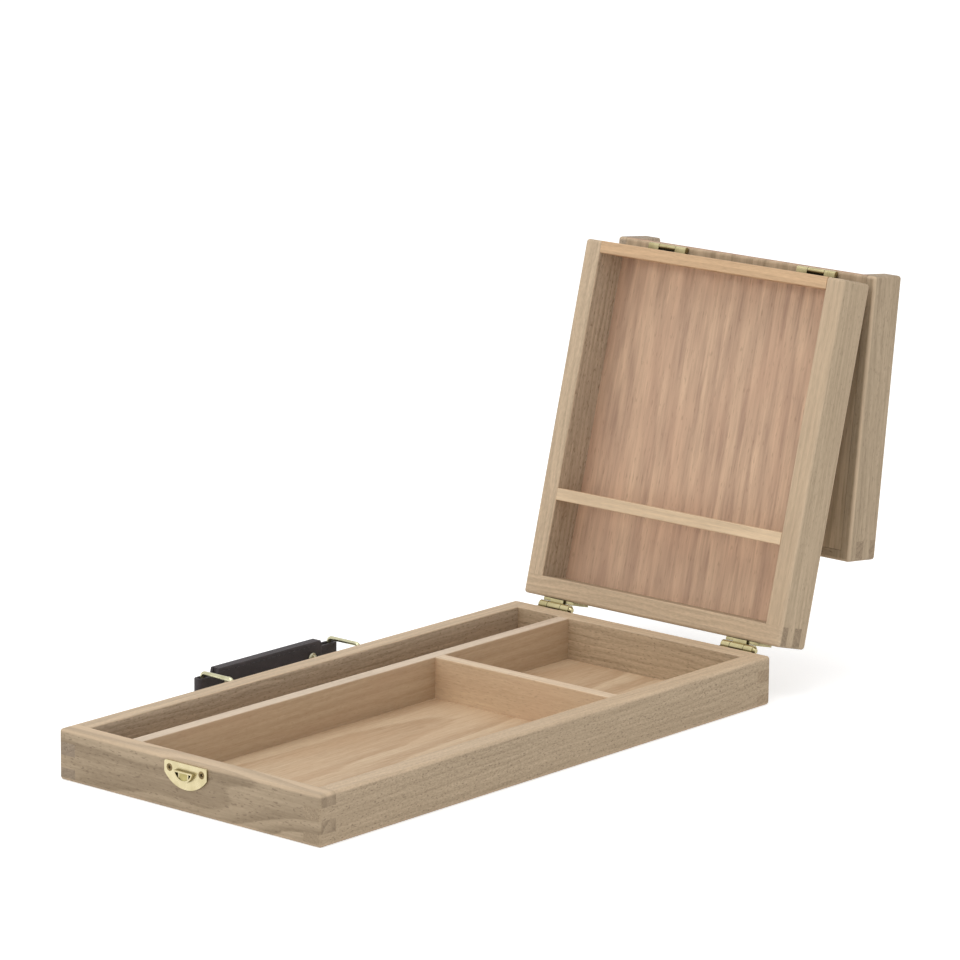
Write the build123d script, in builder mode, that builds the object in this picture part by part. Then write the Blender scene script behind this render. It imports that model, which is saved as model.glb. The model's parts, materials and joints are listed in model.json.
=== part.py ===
from build123d import *
import os
from math import atan2, cos, degrees, pi, radians, sin

# Brush box with a hinged lid in two halves.
#
# The base is a shallow finger-jointed tray with three compartments. The rear half of the lid
# hinges on the base and leans back on stop lugs. The front half hinges on the end of the rear
# half: it closes in line with it, or folds over and hangs behind it. The rear half carries a
# drilled holder rail at its open end and a slat lower down. A hasp on the front half closes
# over a keeper on the base, and a leather grip swings on two wire rings at the left side.
#
# Millimetres. Origin at the centre of the base's underside, +X to the right, +Y towards the
# hinges, +Z up. The model stands open, as the box is used.

# ---------------------------------------------------------------- driving dimensions
# Box
box_length = 400.0          # front to hinge side
box_width = 200.0
base_height = 30.0
lid_height = 27.5
rear_lid_length = 224.0     # the rest of the length, less the seam, is the front half
wall = 12.5
finger_count = 4            # fingers in the height of a corner
edge_ease = 2.0             # rounding of every outer edge
inner_ease = 0.7            # rounding of inner rims, dividers, rail and slat
floor_thickness = 4.0
lid_panel_thickness = 4.0
panel_rebate = 6.0          # how far a panel is let into the walls
panel_clearance = 0.2       # round the edge of a panel in its rebate
rim_gap = 0.3               # between the closed lid and the base
seam_gap = 1.0              # between the two halves of the closed lid

# Dividers in the base
divider_thickness = 8.5
divider_drop = 0.5          # below the rim
side_compartment_width = 32.0
front_compartment_length = 250.5

# Holder rail and slat in the rear half of the lid
rail_thickness = 7.5
rail_hole_radius = 7.5
rail_hole_pitch = 21.6
rail_hole_count = 7
rail_hole_setback = 13.0    # from the rim to the centres of the holes
slat_thickness = 7.5
slat_depth = 8.0
slat_distance = 60.4        # from the hinge end of the lid

# Open pose
rear_lid_lean = 14.7        # behind the vertical, on the stop lugs
front_lid_hang = 6.6        # out of the vertical, where its weight brings it

# Hinges between base and rear lid
lower_inset = 28.25         # from a side of the box to the middle of a hinge
lower_length = 23.5
lower_end_knuckle = 6.4
lower_leaf_thickness = 2.0
lower_leaf_reach = 18.5     # from the axis
lower_leaf_root = 1.6
lower_barrel_radius = 3.0
lower_pin_radius = 1.1
lower_pin_head_radius = 2.2
lower_pin_head_length = 1.6
lower_axis_drop = 0.8       # below the rim of the base
lower_screw_distance = 11.5
lower_screw_spacing = 13.0
stop_lug_width = 1.6
stop_lug_angle = 20.0       # between lug and base leaf at the stop
stop_clearance = 0.3

# Hinges between the two halves of the lid
upper_inset = 42.25
upper_length = 29.0
upper_end_knuckle = 8.0
upper_leaf_thickness = 1.0
upper_leaf_reach = 18.0
upper_barrel_radius = 1.8
upper_barrel_lift = 0.3     # barrel clear of the panels under it
upper_pin_radius = 0.8
upper_axis_past = 3.0       # axis beyond the end of the rear half
upper_screw_distance = 11.5
upper_screw_spacing = 15.0

knuckle_gap = 0.3
pin_clearance = 0.05
leaf_corner_radius = 2.2
web_angle = 20.0            # below the middle of a barrel, where its web meets it

# Screws with countersunk heads
small_round_sides = 12      # of screws and rivets, which are many-sided to stay light
wire_sides = 8
screw_head_radius = 2.3
screw_head_depth = 1.1
screw_radius = 1.1
screw_length = 9.0
head_taper = 25.0           # of the heads of pins and rivets
panel_screw_length = 3.6    # the ones that end inside a lid panel

# Latch: keeper on the base, hasp on the front half of the lid
latch_width = 32.4
latch_plate_thickness = 1.2
latch_edge = 1.5            # from the rim to the straight edge of a plate
latch_shoulder = 6.9        # length of the straight sides
latch_height = 14.9
latch_corner_radius = 1.4
latch_screw_spacing = 24.4
latch_screw_distance = 5.5
hood_width = 14.0
hood_height = 6.0
hood_top = 5.6              # below the rim
hood_depth = 3.4            # out of the wall
hood_wall = 0.9
hood_post_width = 1.4
hood_post_spacing = 6.2
hasp_axis_distance = 5.0    # from the rim
hasp_barrel_radius = 1.5
hasp_pin_radius = 0.7
hasp_lift = 0.4             # moving hasp clear of wall and plates
hasp_knuckle = 10.0
hasp_side_knuckle = 4.5
hasp_thickness = 1.0
hasp_width = 21.0
hasp_end_margin = 3.0
hasp_window_clearance = 0.6
hasp_lip = 2.0
hasp_corner_radius = 3.0

# Handle
handle_height = 20.0        # of its centre line above the underside
ring_spacing = 111.0
ring_reach = 24.5           # from the bar at the wall to the bar in the grip
ring_width = 18.0           # between the centre lines of its two legs
wire_radius = 1.2
ring_corner_radius = 2.4
ring_wall_gap = 0.3
ring_clearance = 0.1        # of the wire in bracket and grip
bracket_thickness = 1.0
bracket_width = 12.0
bracket_length = 27.0
bracket_screw_spacing = 18.0
bracket_screw_length = 8.0
grip_thickness = 6.6
grip_width = 20.0
grip_end_reach = 5.4        # past the bars of the rings
grip_end_length = 9.0       # from the bar to the start of the shoulder
grip_shoulder_length = 1.5
grip_end_radius = 3.0
grip_edge_radius = 1.6
rivet_setback = 18.5
rivet_radius = 3.0
rivet_height = 1.2
rivet_shank_radius = 1.3

# ---------------------------------------------------------------- derived places
front_lid_length = box_length - rear_lid_length - seam_gap
inner_width = box_width - 2 * wall
front_face = -box_length / 2
rear_face = box_length / 2
left_face = -box_width / 2

lower_axis_height = lower_leaf_thickness + lower_barrel_radius
lower_axis = Vector(0, rear_face + lower_axis_height, base_height - lower_axis_drop)
lower_axis_in_lid = lid_height + rim_gap + lower_axis_drop
opening_angle = 90 + rear_lid_lean

upper_axis_height = upper_barrel_radius + upper_barrel_lift
upper_axis_in_front_lid = upper_axis_past - seam_gap

# Each tray has a frame of its own: x across the box, y along it, z from the outer face (the
# underside of the base, the top of a lid) to the rim. The base's y runs to the hinges, the
# rear half's from its hinge end to the seam, the front half's from the seam to the latch.
lean = radians(rear_lid_lean)
rear_lid_along = Vector(0, sin(lean), cos(lean))
rear_lid_in = Vector(0, -cos(lean), sin(lean))
rear_lid_frame = Plane(
    origin=lower_axis + rear_lid_along * lower_axis_height - rear_lid_in * lower_axis_in_lid,
    x_dir=(1, 0, 0),
    z_dir=rear_lid_in,
)
upper_axis = rear_lid_frame.from_local_coords(
    Vector(0, rear_lid_length + upper_axis_past, -upper_axis_height)
)
hang = radians(front_lid_hang)
front_lid_along = Vector(0, -sin(hang), -cos(hang))
front_lid_in = Vector(0, cos(hang), -sin(hang))
front_lid_frame = Plane(
    origin=upper_axis - front_lid_along * upper_axis_in_front_lid + front_lid_in * upper_axis_height,
    x_dir=(1, 0, 0),
    z_dir=front_lid_in,
)
base_frame = Plane.XY


def placed(frame, plane):
    """A plane that is given inside a frame, as a plane of the model."""
    return Plane(frame.location * plane.location)


def inside(frame, origin, x_dir, z_dir):
    """A plane of the model from an origin and two directions inside a frame."""
    return placed(frame, Plane(origin=origin, x_dir=x_dir, z_dir=z_dir))


os.makedirs("parts", exist_ok=True)


def save(part, name):
    """Labels a finished piece and writes it under its name."""
    part.label = name
    export_step(part, f"parts/{name}.step")


# ---------------------------------------------------------------- screws
screw_head_flare = (screw_head_radius - screw_radius) * cos(pi / small_round_sides)
screw_head_taper = degrees(atan2(screw_head_flare, screw_head_depth))


def screw_group(face, points, length):
    """Countersunk screws that stand flush in a face, as one group of separate solids."""
    with BuildPart() as group:
        with BuildSketch(face):
            with Locations(*points):
                RegularPolygon(screw_head_radius, small_round_sides)
        extrude(amount=-screw_head_depth, taper=screw_head_taper)
        with BuildSketch(face):
            with Locations(*points):
                RegularPolygon(screw_radius, small_round_sides)
        extrude(amount=-length)
    return group.part


def pair(spacing, distance):
    """Two points across a leaf or plate, at one distance from its axis or edge."""
    return [(-spacing / 2, distance), (spacing / 2, distance)]


# ---------------------------------------------------------------- finger-jointed trays
def eased_block(frame, y_from, y_to, height):
    """The full outer block of a tray with its edges rounded."""
    with BuildPart() as block:
        with BuildSketch(frame):
            with Locations((0, (y_from + y_to) / 2)):
                Rectangle(box_width, y_to - y_from)
        extrude(amount=height)
        fillet(block.edges(), edge_ease)
    return block.part


def hollow_block(frame, block, y_from, y_to, height):
    """A tray's block hollowed right through, with its inner rim edges rounded, which trims
    every wall. The hollow runs out of the block at an end that stands open."""
    with BuildPart() as hollow:
        add(block)
        with BuildSketch(frame):
            with Locations((0, (y_from + y_to) / 2)):
                Rectangle(inner_width, y_to - y_from)
        extrude(amount=height, mode=Mode.SUBTRACT)
        rim_edges = hollow.edges(Select.LAST).group_by(Axis(frame.origin, frame.z_dir))[-1]
        inner_edges = rim_edges.filter_by(
            lambda edge: abs(edge.center().X) < inner_width / 2 + inner_ease
        )
        fillet(inner_edges, inner_ease)
    return hollow.part


def panel_pocket(frame, y_from, y_to, thickness, clearance):
    """The space of a panel let into the walls at the outer face of a tray."""
    with BuildPart() as pocket:
        with BuildSketch(frame):
            with Locations((0, (y_from + y_to) / 2)):
                Rectangle(
                    inner_width + 2 * (panel_rebate - clearance),
                    y_to - y_from - 2 * clearance,
                )
        extrude(amount=thickness)
    return pocket.part


def side_wall(frame, side, y_from, y_to, height, joints, hollow, cuts):
    """One long wall. A joint is the y of an end, the way into the wall and the first finger
    of the end wall, counted from the outer face, that passes through this wall there."""
    finger = height / finger_count
    inner_face = box_width / 2 - wall
    start = inner_face if side > 0 else -box_width / 2
    with BuildPart() as piece:
        with BuildSketch(placed(frame, Plane.YZ.offset(start))):
            with Locations(((y_from + y_to) / 2, height / 2)):
                Rectangle(y_to - y_from, height)
            for y_end, inward, first in joints:
                for level in range(first, finger_count, 2):
                    with Locations((y_end + inward * wall / 2, (level + 0.5) * finger)):
                        Rectangle(wall, finger, mode=Mode.SUBTRACT)
        extrude(amount=wall)
        add(hollow, mode=Mode.INTERSECT)
        for cut in cuts:
            add(cut, mode=Mode.SUBTRACT)
    return piece.part


def end_wall(frame, y_end, inward, height, first, hollow, cuts):
    """One short wall. Its own fingers start at the given level, counted from the outer face,
    and the side walls pass through it at the levels between."""
    finger = height / finger_count
    with BuildPart() as piece:
        with BuildSketch(placed(frame, Plane.XZ.offset(-y_end))):
            with Locations((0, height / 2)):
                Rectangle(box_width, height)
            for level in range(1 - first, finger_count, 2):
                for side in (-1, 1):
                    with Locations((side * (box_width - wall) / 2, (level + 0.5) * finger)):
                        Rectangle(wall, finger, mode=Mode.SUBTRACT)
        extrude(amount=-inward * wall)
        add(hollow, mode=Mode.INTERSECT)
        for cut in cuts:
            add(cut, mode=Mode.SUBTRACT)
    return piece.part


def cross_bar(frame, y_low, thickness, z_from, z_to, x_from=-inner_width / 2, x_to=inner_width / 2):
    """A flat bar between two walls, along x, with the two edges at the rim rounded."""
    with BuildPart() as bar:
        with BuildSketch(placed(frame, Plane.XY.offset(z_from))):
            with Locations(((x_from + x_to) / 2, y_low + thickness / 2)):
                Rectangle(x_to - x_from, thickness)
        extrude(amount=z_to - z_from)
        long_edges = bar.edges().filter_by(Axis.X)
        fillet(long_edges.group_by(Axis(frame.origin, frame.z_dir))[-1], inner_ease)
    return bar.part


# ---------------------------------------------------------------- hinges
def hinge_leaf(frame, length, thickness, reach, root, barrel_radius, axis_height, bore_radius,
               knuckles, web_reach, web_lift, screws, lug=None):
    """One leaf of a hinge. In its frame x runs along the pin, y away from the pin over the
    leaf, and z out of the wood. The knuckles are spans of x that the leaf's own barrel
    pieces fill, and the web carries each of them on the leaf. The lug, if the leaf has one,
    is the angle of a stop lug on the barrel and its length from the axis."""
    web_top_y = barrel_radius * cos(radians(web_angle))
    web_top_z = axis_height - barrel_radius * sin(radians(web_angle))
    with BuildPart() as leaf:
        with BuildSketch(frame) as plate:
            with Locations((0, (root + reach) / 2)):
                Rectangle(length, reach - root)
            fillet(plate.vertices().group_by(Axis(frame.origin, frame.y_dir))[-1], leaf_corner_radius)
        extrude(amount=thickness)
        for x_from, x_to in knuckles:
            with BuildSketch(placed(frame, Plane.YZ.offset(x_from))):
                with Locations((0, axis_height)):
                    Circle(barrel_radius)
                with BuildLine():
                    Polyline(
                        (0, web_lift),
                        (web_reach, web_lift),
                        (web_reach, thickness),
                        (web_top_y, web_top_z),
                        (0, axis_height),
                        close=True,
                    )
                make_face()
                if lug is not None:
                    angle, lug_length = lug
                    with Locations(Location((0, axis_height), angle)):
                        Rectangle(lug_length, stop_lug_width, align=(Align.MIN, Align.CENTER))
                with Locations((0, axis_height)):
                    Circle(bore_radius, mode=Mode.SUBTRACT)
            extrude(amount=x_to - x_from)
        add(screws, mode=Mode.SUBTRACT)
    return leaf.part


def hinge_pin(frame, axis_height, radius, length, head_radius=0, head_length=0):
    """The pin of a hinge, along x in the frame of a leaf, with an optional tapered head."""
    with BuildPart() as pin:
        with BuildSketch(placed(frame, Plane.YZ.offset(-length / 2))):
            with Locations((0, axis_height)):
                Circle(radius)
        extrude(amount=length)
        if head_length > 0:
            with BuildSketch(placed(frame, Plane.YZ.offset(length / 2))):
                with Locations((0, axis_height)):
                    Circle(head_radius)
            extrude(amount=head_length, taper=head_taper)
    return pin.part


def end_knuckles(length, end_length):
    """The spans of the two outer knuckles of a hinge."""
    return [(-length / 2, -length / 2 + end_length), (length / 2 - end_length, length / 2)]


def middle_knuckle(length, end_length):
    """The span of the middle knuckle, clear of the outer two."""
    half = length / 2 - end_length - knuckle_gap
    return [(-half, half)]


hinge_sides = {"left": -1, "right": 1}

base_leaf_frames = {}
lid_leaf_frames = {}
rear_leaf_frames = {}
front_leaf_frames = {}
for side_name, side in hinge_sides.items():
    lower_x = side * (box_width / 2 - lower_inset)
    upper_x = side * (box_width / 2 - upper_inset)
    base_leaf_frames[side_name] = Plane(
        origin=(lower_x, rear_face, lower_axis.Z), x_dir=(1, 0, 0), z_dir=(0, 1, 0)
    )
    lid_leaf_frames[side_name] = inside(
        rear_lid_frame, (lower_x, 0, lower_axis_in_lid), (-1, 0, 0), (0, -1, 0)
    )
    rear_leaf_frames[side_name] = inside(
        rear_lid_frame, (upper_x, rear_lid_length + upper_axis_past, 0), (1, 0, 0), (0, 0, -1)
    )
    front_leaf_frames[side_name] = inside(
        front_lid_frame, (upper_x, upper_axis_in_front_lid, 0), (-1, 0, 0), (0, 0, -1)
    )


def leaf_screws(frames, thickness, spacing, distance, length):
    """The screws of both leaves of one kind, left and right."""
    with BuildPart() as group:
        for frame in frames.values():
            add(screw_group(frame.offset(thickness), pair(spacing, distance), length))
    return group.part


lower_base_screws = leaf_screws(
    base_leaf_frames, lower_leaf_thickness, lower_screw_spacing, lower_screw_distance, screw_length
)
lower_lid_screws = leaf_screws(
    lid_leaf_frames, lower_leaf_thickness, lower_screw_spacing, lower_screw_distance, screw_length
)
upper_rear_screws = leaf_screws(
    rear_leaf_frames, upper_leaf_thickness, upper_screw_spacing, upper_screw_distance, panel_screw_length
)
upper_front_screws = leaf_screws(
    front_leaf_frames, upper_leaf_thickness, upper_screw_spacing, upper_screw_distance, panel_screw_length
)

# ---------------------------------------------------------------- latch frames and screws
# Both frames lie at the rim on an end wall: x across, y away from the underside of the closed
# box, z out of the wall. The keeper hangs below its rim, the hasp plate stands above its own.
keeper_frame = Plane(origin=(0, front_face, base_height), x_dir=(1, 0, 0), z_dir=(0, -1, 0))
hasp_frame = inside(front_lid_frame, (0, front_lid_length, lid_height), (1, 0, 0), (0, 1, 0))
keeper_screws = screw_group(
    keeper_frame.offset(latch_plate_thickness),
    pair(latch_screw_spacing, -latch_screw_distance),
    screw_length,
)
hasp_screws = screw_group(
    hasp_frame.offset(latch_plate_thickness),
    pair(latch_screw_spacing, latch_screw_distance),
    screw_length,
)

# ---------------------------------------------------------------- handle frames and screws
# At each bracket: x along the box, y up, z out of the left wall.
bar_height = wire_radius + ring_wall_gap
bracket_frames = {
    "front": Plane(origin=(left_face, -ring_spacing / 2, handle_height), x_dir=(0, -1, 0), z_dir=(-1, 0, 0)),
    "rear": Plane(origin=(left_face, ring_spacing / 2, handle_height), x_dir=(0, -1, 0), z_dir=(-1, 0, 0)),
}
with BuildPart() as bracket_screws:
    for bracket_frame in bracket_frames.values():
        add(
            screw_group(
                bracket_frame.offset(bracket_thickness),
                pair(bracket_screw_spacing, 0),
                bracket_screw_length,
            )
        )

# ---------------------------------------------------------------- base
base_block = eased_block(base_frame, front_face, rear_face, base_height)
base_hollow = hollow_block(base_frame, base_block, front_face + wall, rear_face - wall, base_height)
floor_pocket = panel_pocket(
    base_frame,
    front_face + wall - panel_rebate,
    rear_face - wall + panel_rebate,
    floor_thickness,
    0,
)
base_joints = [(front_face, 1, 1), (rear_face, -1, 0)]
save(
    side_wall(base_frame, -1, front_face, rear_face, base_height, base_joints, base_hollow,
              [floor_pocket, bracket_screws.part]),
    "base_left_wall",
)
save(
    side_wall(base_frame, 1, front_face, rear_face, base_height, base_joints, base_hollow,
              [floor_pocket]),
    "base_right_wall",
)
save(
    end_wall(base_frame, front_face, 1, base_height, 1, base_hollow, [floor_pocket, keeper_screws]),
    "base_front_wall",
)
save(
    end_wall(base_frame, rear_face, -1, base_height, 0, base_hollow, [floor_pocket, lower_base_screws]),
    "base_rear_wall",
)
base_floor = panel_pocket(
    base_frame,
    front_face + wall - panel_rebate,
    rear_face - wall + panel_rebate,
    floor_thickness,
    panel_clearance,
)
save(base_floor, "base_floor")

divider_top = base_height - divider_drop
long_divider_left = -inner_width / 2 + side_compartment_width
with BuildPart() as long_divider:
    with BuildSketch(Plane.XY.offset(floor_thickness)):
        with Locations((long_divider_left + divider_thickness / 2, 0)):
            Rectangle(divider_thickness, box_length - 2 * wall)
    extrude(amount=divider_top - floor_thickness)
    fillet(long_divider.edges().filter_by(Axis.Y).group_by(Axis.Z)[-1], inner_ease)
save(long_divider.part, "long_divider")
save(
    cross_bar(
        base_frame,
        front_face + wall + front_compartment_length,
        divider_thickness,
        floor_thickness,
        divider_top,
        x_from=long_divider_left + divider_thickness,
    ),
    "cross_divider",
)

# ---------------------------------------------------------------- rear half of the lid
rear_block = eased_block(rear_lid_frame, 0, rear_lid_length, lid_height)
rear_hollow = hollow_block(rear_lid_frame, rear_block, wall, rear_lid_length + wall, lid_height)
rear_pocket = panel_pocket(
    rear_lid_frame, wall - panel_rebate, rear_lid_length + wall, lid_panel_thickness, 0
)
rear_joints = [(0, 1, 1)]
for side_name, side in hinge_sides.items():
    save(
        side_wall(rear_lid_frame, side, 0, rear_lid_length, lid_height, rear_joints, rear_hollow,
                  [rear_pocket]),
        f"rear_lid_{side_name}_wall",
    )
save(
    end_wall(rear_lid_frame, 0, 1, lid_height, 1, rear_hollow, [rear_pocket, lower_lid_screws]),
    "rear_lid_end_wall",
)
with BuildPart() as rear_lid_panel:
    add(
        panel_pocket(
            rear_lid_frame,
            wall - panel_rebate,
            rear_lid_length + panel_clearance,
            lid_panel_thickness,
            panel_clearance,
        )
    )
    add(rear_block, mode=Mode.INTERSECT)
    add(upper_rear_screws, mode=Mode.SUBTRACT)
save(rear_lid_panel.part, "rear_lid_panel")

# The rail closes the seam end between the side walls. Its holes run along the lid.
with BuildPart() as holder_rail:
    add(
        cross_bar(
            rear_lid_frame,
            rear_lid_length - rail_thickness,
            rail_thickness,
            lid_panel_thickness,
            lid_height,
        )
    )
    with BuildSketch(placed(rear_lid_frame, Plane.XZ.offset(-rear_lid_length))):
        with Locations((0, lid_height - rail_hole_setback)):
            with GridLocations(rail_hole_pitch, 1, rail_hole_count, 1):
                Circle(rail_hole_radius)
    extrude(amount=rail_thickness, mode=Mode.SUBTRACT)
save(holder_rail.part, "holder_rail")
save(
    cross_bar(rear_lid_frame, slat_distance, slat_thickness, lid_height - slat_depth, lid_height),
    "retaining_slat",
)

# ---------------------------------------------------------------- front half of the lid
front_block = eased_block(front_lid_frame, 0, front_lid_length, lid_height)
front_hollow = hollow_block(front_lid_frame, front_block, -wall, front_lid_length - wall, lid_height)
front_pocket = panel_pocket(
    front_lid_frame, -wall, front_lid_length - wall + panel_rebate, lid_panel_thickness, 0
)
front_joints = [(front_lid_length, -1, 1)]
for side_name, side in hinge_sides.items():
    save(
        side_wall(front_lid_frame, side, 0, front_lid_length, lid_height, front_joints, front_hollow,
                  [front_pocket]),
        f"front_lid_{side_name}_wall",
    )
save(
    end_wall(front_lid_frame, front_lid_length, -1, lid_height, 1, front_hollow,
             [front_pocket, hasp_screws]),
    "front_lid_end_wall",
)
with BuildPart() as front_lid_panel:
    add(
        panel_pocket(
            front_lid_frame,
            -panel_clearance,
            front_lid_length - wall + panel_rebate,
            lid_panel_thickness,
            panel_clearance,
        )
    )
    add(front_block, mode=Mode.INTERSECT)
    add(upper_front_screws, mode=Mode.SUBTRACT)
save(front_lid_panel.part, "front_lid_panel")

# ---------------------------------------------------------------- lower hinges
# The lug stands on the lid's knuckle. At the stop its corner meets the base leaf.
lug_tilt = radians(stop_lug_angle)
lug_length = (
    lower_barrel_radius - stop_clearance - stop_lug_width / 2 * cos(lug_tilt)
) / sin(lug_tilt)
lug_angle = 180 + stop_lug_angle - opening_angle
lower_outer = end_knuckles(lower_length, lower_end_knuckle)
lower_middle = middle_knuckle(lower_length, lower_end_knuckle)
for side_name in hinge_sides:
    save(
        hinge_leaf(
            base_leaf_frames[side_name], lower_length, lower_leaf_thickness, lower_leaf_reach,
            lower_leaf_root, lower_barrel_radius, lower_axis_height, lower_pin_radius,
            lower_outer, lower_barrel_radius, 0, lower_base_screws,
        ),
        f"lower_hinge_{side_name}_base_leaf",
    )
    save(
        hinge_leaf(
            lid_leaf_frames[side_name], lower_length, lower_leaf_thickness, lower_leaf_reach,
            lower_leaf_root, lower_barrel_radius, lower_axis_height,
            lower_pin_radius + pin_clearance, lower_middle, lower_barrel_radius, 0,
            lower_lid_screws, lug=(lug_angle, lug_length),
        ),
        f"lower_hinge_{side_name}_lid_leaf",
    )
    save(
        hinge_pin(
            base_leaf_frames[side_name], lower_axis_height, lower_pin_radius, lower_length,
            lower_pin_head_radius, lower_pin_head_length,
        ),
        f"lower_hinge_{side_name}_pin",
    )
save(lower_base_screws, "lower_hinge_base_screws")
save(lower_lid_screws, "lower_hinge_lid_screws")

# ---------------------------------------------------------------- upper hinges
upper_rear_root = upper_axis_past + panel_clearance
upper_front_root = upper_barrel_radius + panel_clearance
upper_outer = end_knuckles(upper_length, upper_end_knuckle)
upper_middle = middle_knuckle(upper_length, upper_end_knuckle)
for side_name in hinge_sides:
    save(
        hinge_leaf(
            rear_leaf_frames[side_name], upper_length, upper_leaf_thickness, upper_leaf_reach,
            upper_rear_root, upper_barrel_radius, upper_axis_height, upper_pin_radius,
            upper_outer, upper_rear_root + upper_leaf_thickness, upper_barrel_lift,
            upper_rear_screws,
        ),
        f"upper_hinge_{side_name}_rear_leaf",
    )
    save(
        hinge_leaf(
            front_leaf_frames[side_name], upper_length, upper_leaf_thickness, upper_leaf_reach,
            upper_front_root, upper_barrel_radius, upper_axis_height,
            upper_pin_radius + pin_clearance, upper_middle,
            upper_front_root + upper_leaf_thickness, 0, upper_front_screws,
        ),
        f"upper_hinge_{side_name}_front_leaf",
    )
    save(
        hinge_pin(rear_leaf_frames[side_name], upper_axis_height, upper_pin_radius, upper_length),
        f"upper_hinge_{side_name}_pin",
    )
save(upper_rear_screws, "upper_hinge_rear_screws")
save(upper_front_screws, "upper_hinge_front_screws")


# ---------------------------------------------------------------- latch
def latch_plate(frame, away):
    """A half-moon plate with its straight edge at the rim. Away is the side of the rim, +1
    or -1, that the plate lies on."""
    edge = away * latch_edge
    shoulder = away * (latch_edge + latch_shoulder)
    crown = away * (latch_edge + latch_height)
    with BuildPart() as plate:
        with BuildSketch(frame) as outline:
            with BuildLine():
                Polyline(
                    (-latch_width / 2, shoulder),
                    (-latch_width / 2, edge),
                    (latch_width / 2, edge),
                    (latch_width / 2, shoulder),
                )
                ThreePointArc((latch_width / 2, shoulder), (0, crown), (-latch_width / 2, shoulder))
            make_face()
            fillet(outline.vertices(), latch_corner_radius)
        extrude(amount=latch_plate_thickness)
    return plate.part


def hood_outline(margin):
    """The half-round hood of the keeper, grown or shrunk all round by a margin."""
    half = hood_width / 2 + margin
    top = -hood_top + margin
    bottom = -hood_top - hood_height - margin
    with BuildSketch() as outline:
        with BuildLine():
            Line((half, top), (-half, top))
            ThreePointArc((-half, top), (0, bottom), (half, top))
        make_face()
    return outline.sketch


with BuildPart() as latch_keeper:
    add(latch_plate(keeper_frame, -1))
    with BuildSketch(keeper_frame.offset(latch_plate_thickness)):
        add(hood_outline(0))
    extrude(amount=hood_depth - latch_plate_thickness)
    with BuildSketch(keeper_frame.offset(latch_plate_thickness)):
        add(hood_outline(-hood_wall))
    extrude(amount=hood_depth - latch_plate_thickness, mode=Mode.SUBTRACT)
    with BuildSketch(keeper_frame.offset(latch_plate_thickness)):
        with Locations((0, -hood_top - hood_height / 2)):
            with GridLocations(hood_post_spacing, 1, 2, 1):
                Rectangle(hood_post_width, hood_height - 2 * hood_wall)
    extrude(amount=hood_depth - latch_plate_thickness - hood_wall / 2)
    add(keeper_screws, mode=Mode.SUBTRACT)
save(latch_keeper.part, "latch_keeper")
save(keeper_screws, "latch_keeper_screws")

hasp_axis_height = hasp_barrel_radius + hasp_lift
hasp_side_start = hasp_knuckle / 2 + knuckle_gap
hasp_side_end = hasp_side_start + hasp_side_knuckle
hasp_root = hasp_barrel_radius + hasp_lift
with BuildPart() as hasp_plate:
    add(latch_plate(hasp_frame, 1))
    with BuildSketch(hasp_frame):
        with Locations((0, latch_edge)):
            Rectangle(
                2 * hasp_side_start,
                2 * (hasp_axis_distance - latch_edge + hasp_root),
            )
    extrude(amount=latch_plate_thickness, mode=Mode.SUBTRACT)
    for x_from in (-hasp_side_end, hasp_side_start):
        with BuildSketch(placed(hasp_frame, Plane.YZ.offset(x_from))):
            with Locations((hasp_axis_distance, hasp_axis_height)):
                Circle(hasp_barrel_radius)
            with Locations((hasp_axis_distance, hasp_axis_height / 2)):
                Rectangle(2 * hasp_barrel_radius, hasp_axis_height)
            with Locations((hasp_axis_distance, hasp_axis_height)):
                Circle(hasp_pin_radius, mode=Mode.SUBTRACT)
        extrude(amount=hasp_side_knuckle)
    add(hasp_screws, mode=Mode.SUBTRACT)
save(hasp_plate.part, "hasp_plate")
save(hasp_screws, "hasp_plate_screws")

hasp_pivot_frame = placed(hasp_frame, Plane.XY.offset(hasp_axis_height))
hasp_pivot = hasp_pivot_frame.from_local_coords(Vector(0, hasp_axis_distance, 0))
with BuildPart() as hasp_pin:
    with BuildSketch(placed(hasp_frame, Plane.YZ.offset(-hasp_side_end))):
        with Locations((hasp_axis_distance, hasp_axis_height)):
            Circle(hasp_pin_radius)
    extrude(amount=2 * hasp_side_end)
save(hasp_pin.part, "hasp_pin")

# The flap hangs straight down from its pin. Closed, it lies flat over the keeper, and its
# window passes over the hood. In its frame y runs from the end of the flap to the pin.
flap_frame = Plane(origin=hasp_pivot, x_dir=(1, 0, 0), z_dir=(0, -1, 0))
window_top = -(hasp_axis_distance + rim_gap + hood_top - hasp_window_clearance)
window_height = hood_height + 2 * hasp_window_clearance
window_width = hood_width + 2 * hasp_window_clearance
flap_end = window_top - window_height - hasp_end_margin
with BuildPart() as hasp_flap:
    with BuildSketch(flap_frame.offset(-hasp_thickness / 2)) as flap_outline:
        with Locations((0, (flap_end - hasp_root) / 2)):
            Rectangle(hasp_width, -flap_end - hasp_root)
        fillet(flap_outline.vertices().group_by(Axis.Z)[0], hasp_corner_radius)
        with Locations((0, -hasp_root)):
            Rectangle(hasp_knuckle, 2 * hasp_root)
        with Locations((0, window_top - window_height / 2)):
            RectangleRounded(window_width, window_height, hasp_thickness, mode=Mode.SUBTRACT)
    extrude(amount=hasp_thickness)
    with BuildSketch(placed(flap_frame, Plane.YZ.offset(-hasp_knuckle / 2))):
        Circle(hasp_barrel_radius)
    extrude(amount=hasp_knuckle)
    with BuildSketch(placed(flap_frame, Plane.YZ.offset(-hasp_knuckle / 2))):
        Circle(hasp_pin_radius + pin_clearance)
    extrude(amount=hasp_knuckle, mode=Mode.SUBTRACT)
    with BuildSketch(flap_frame.offset(hasp_thickness / 2)):
        with Locations((0, flap_end + hasp_thickness / 2)):
            Rectangle(hasp_width - 2 * hasp_corner_radius, hasp_thickness)
    extrude(amount=hasp_lip)
save(hasp_flap.part, "hasp_flap")

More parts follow.
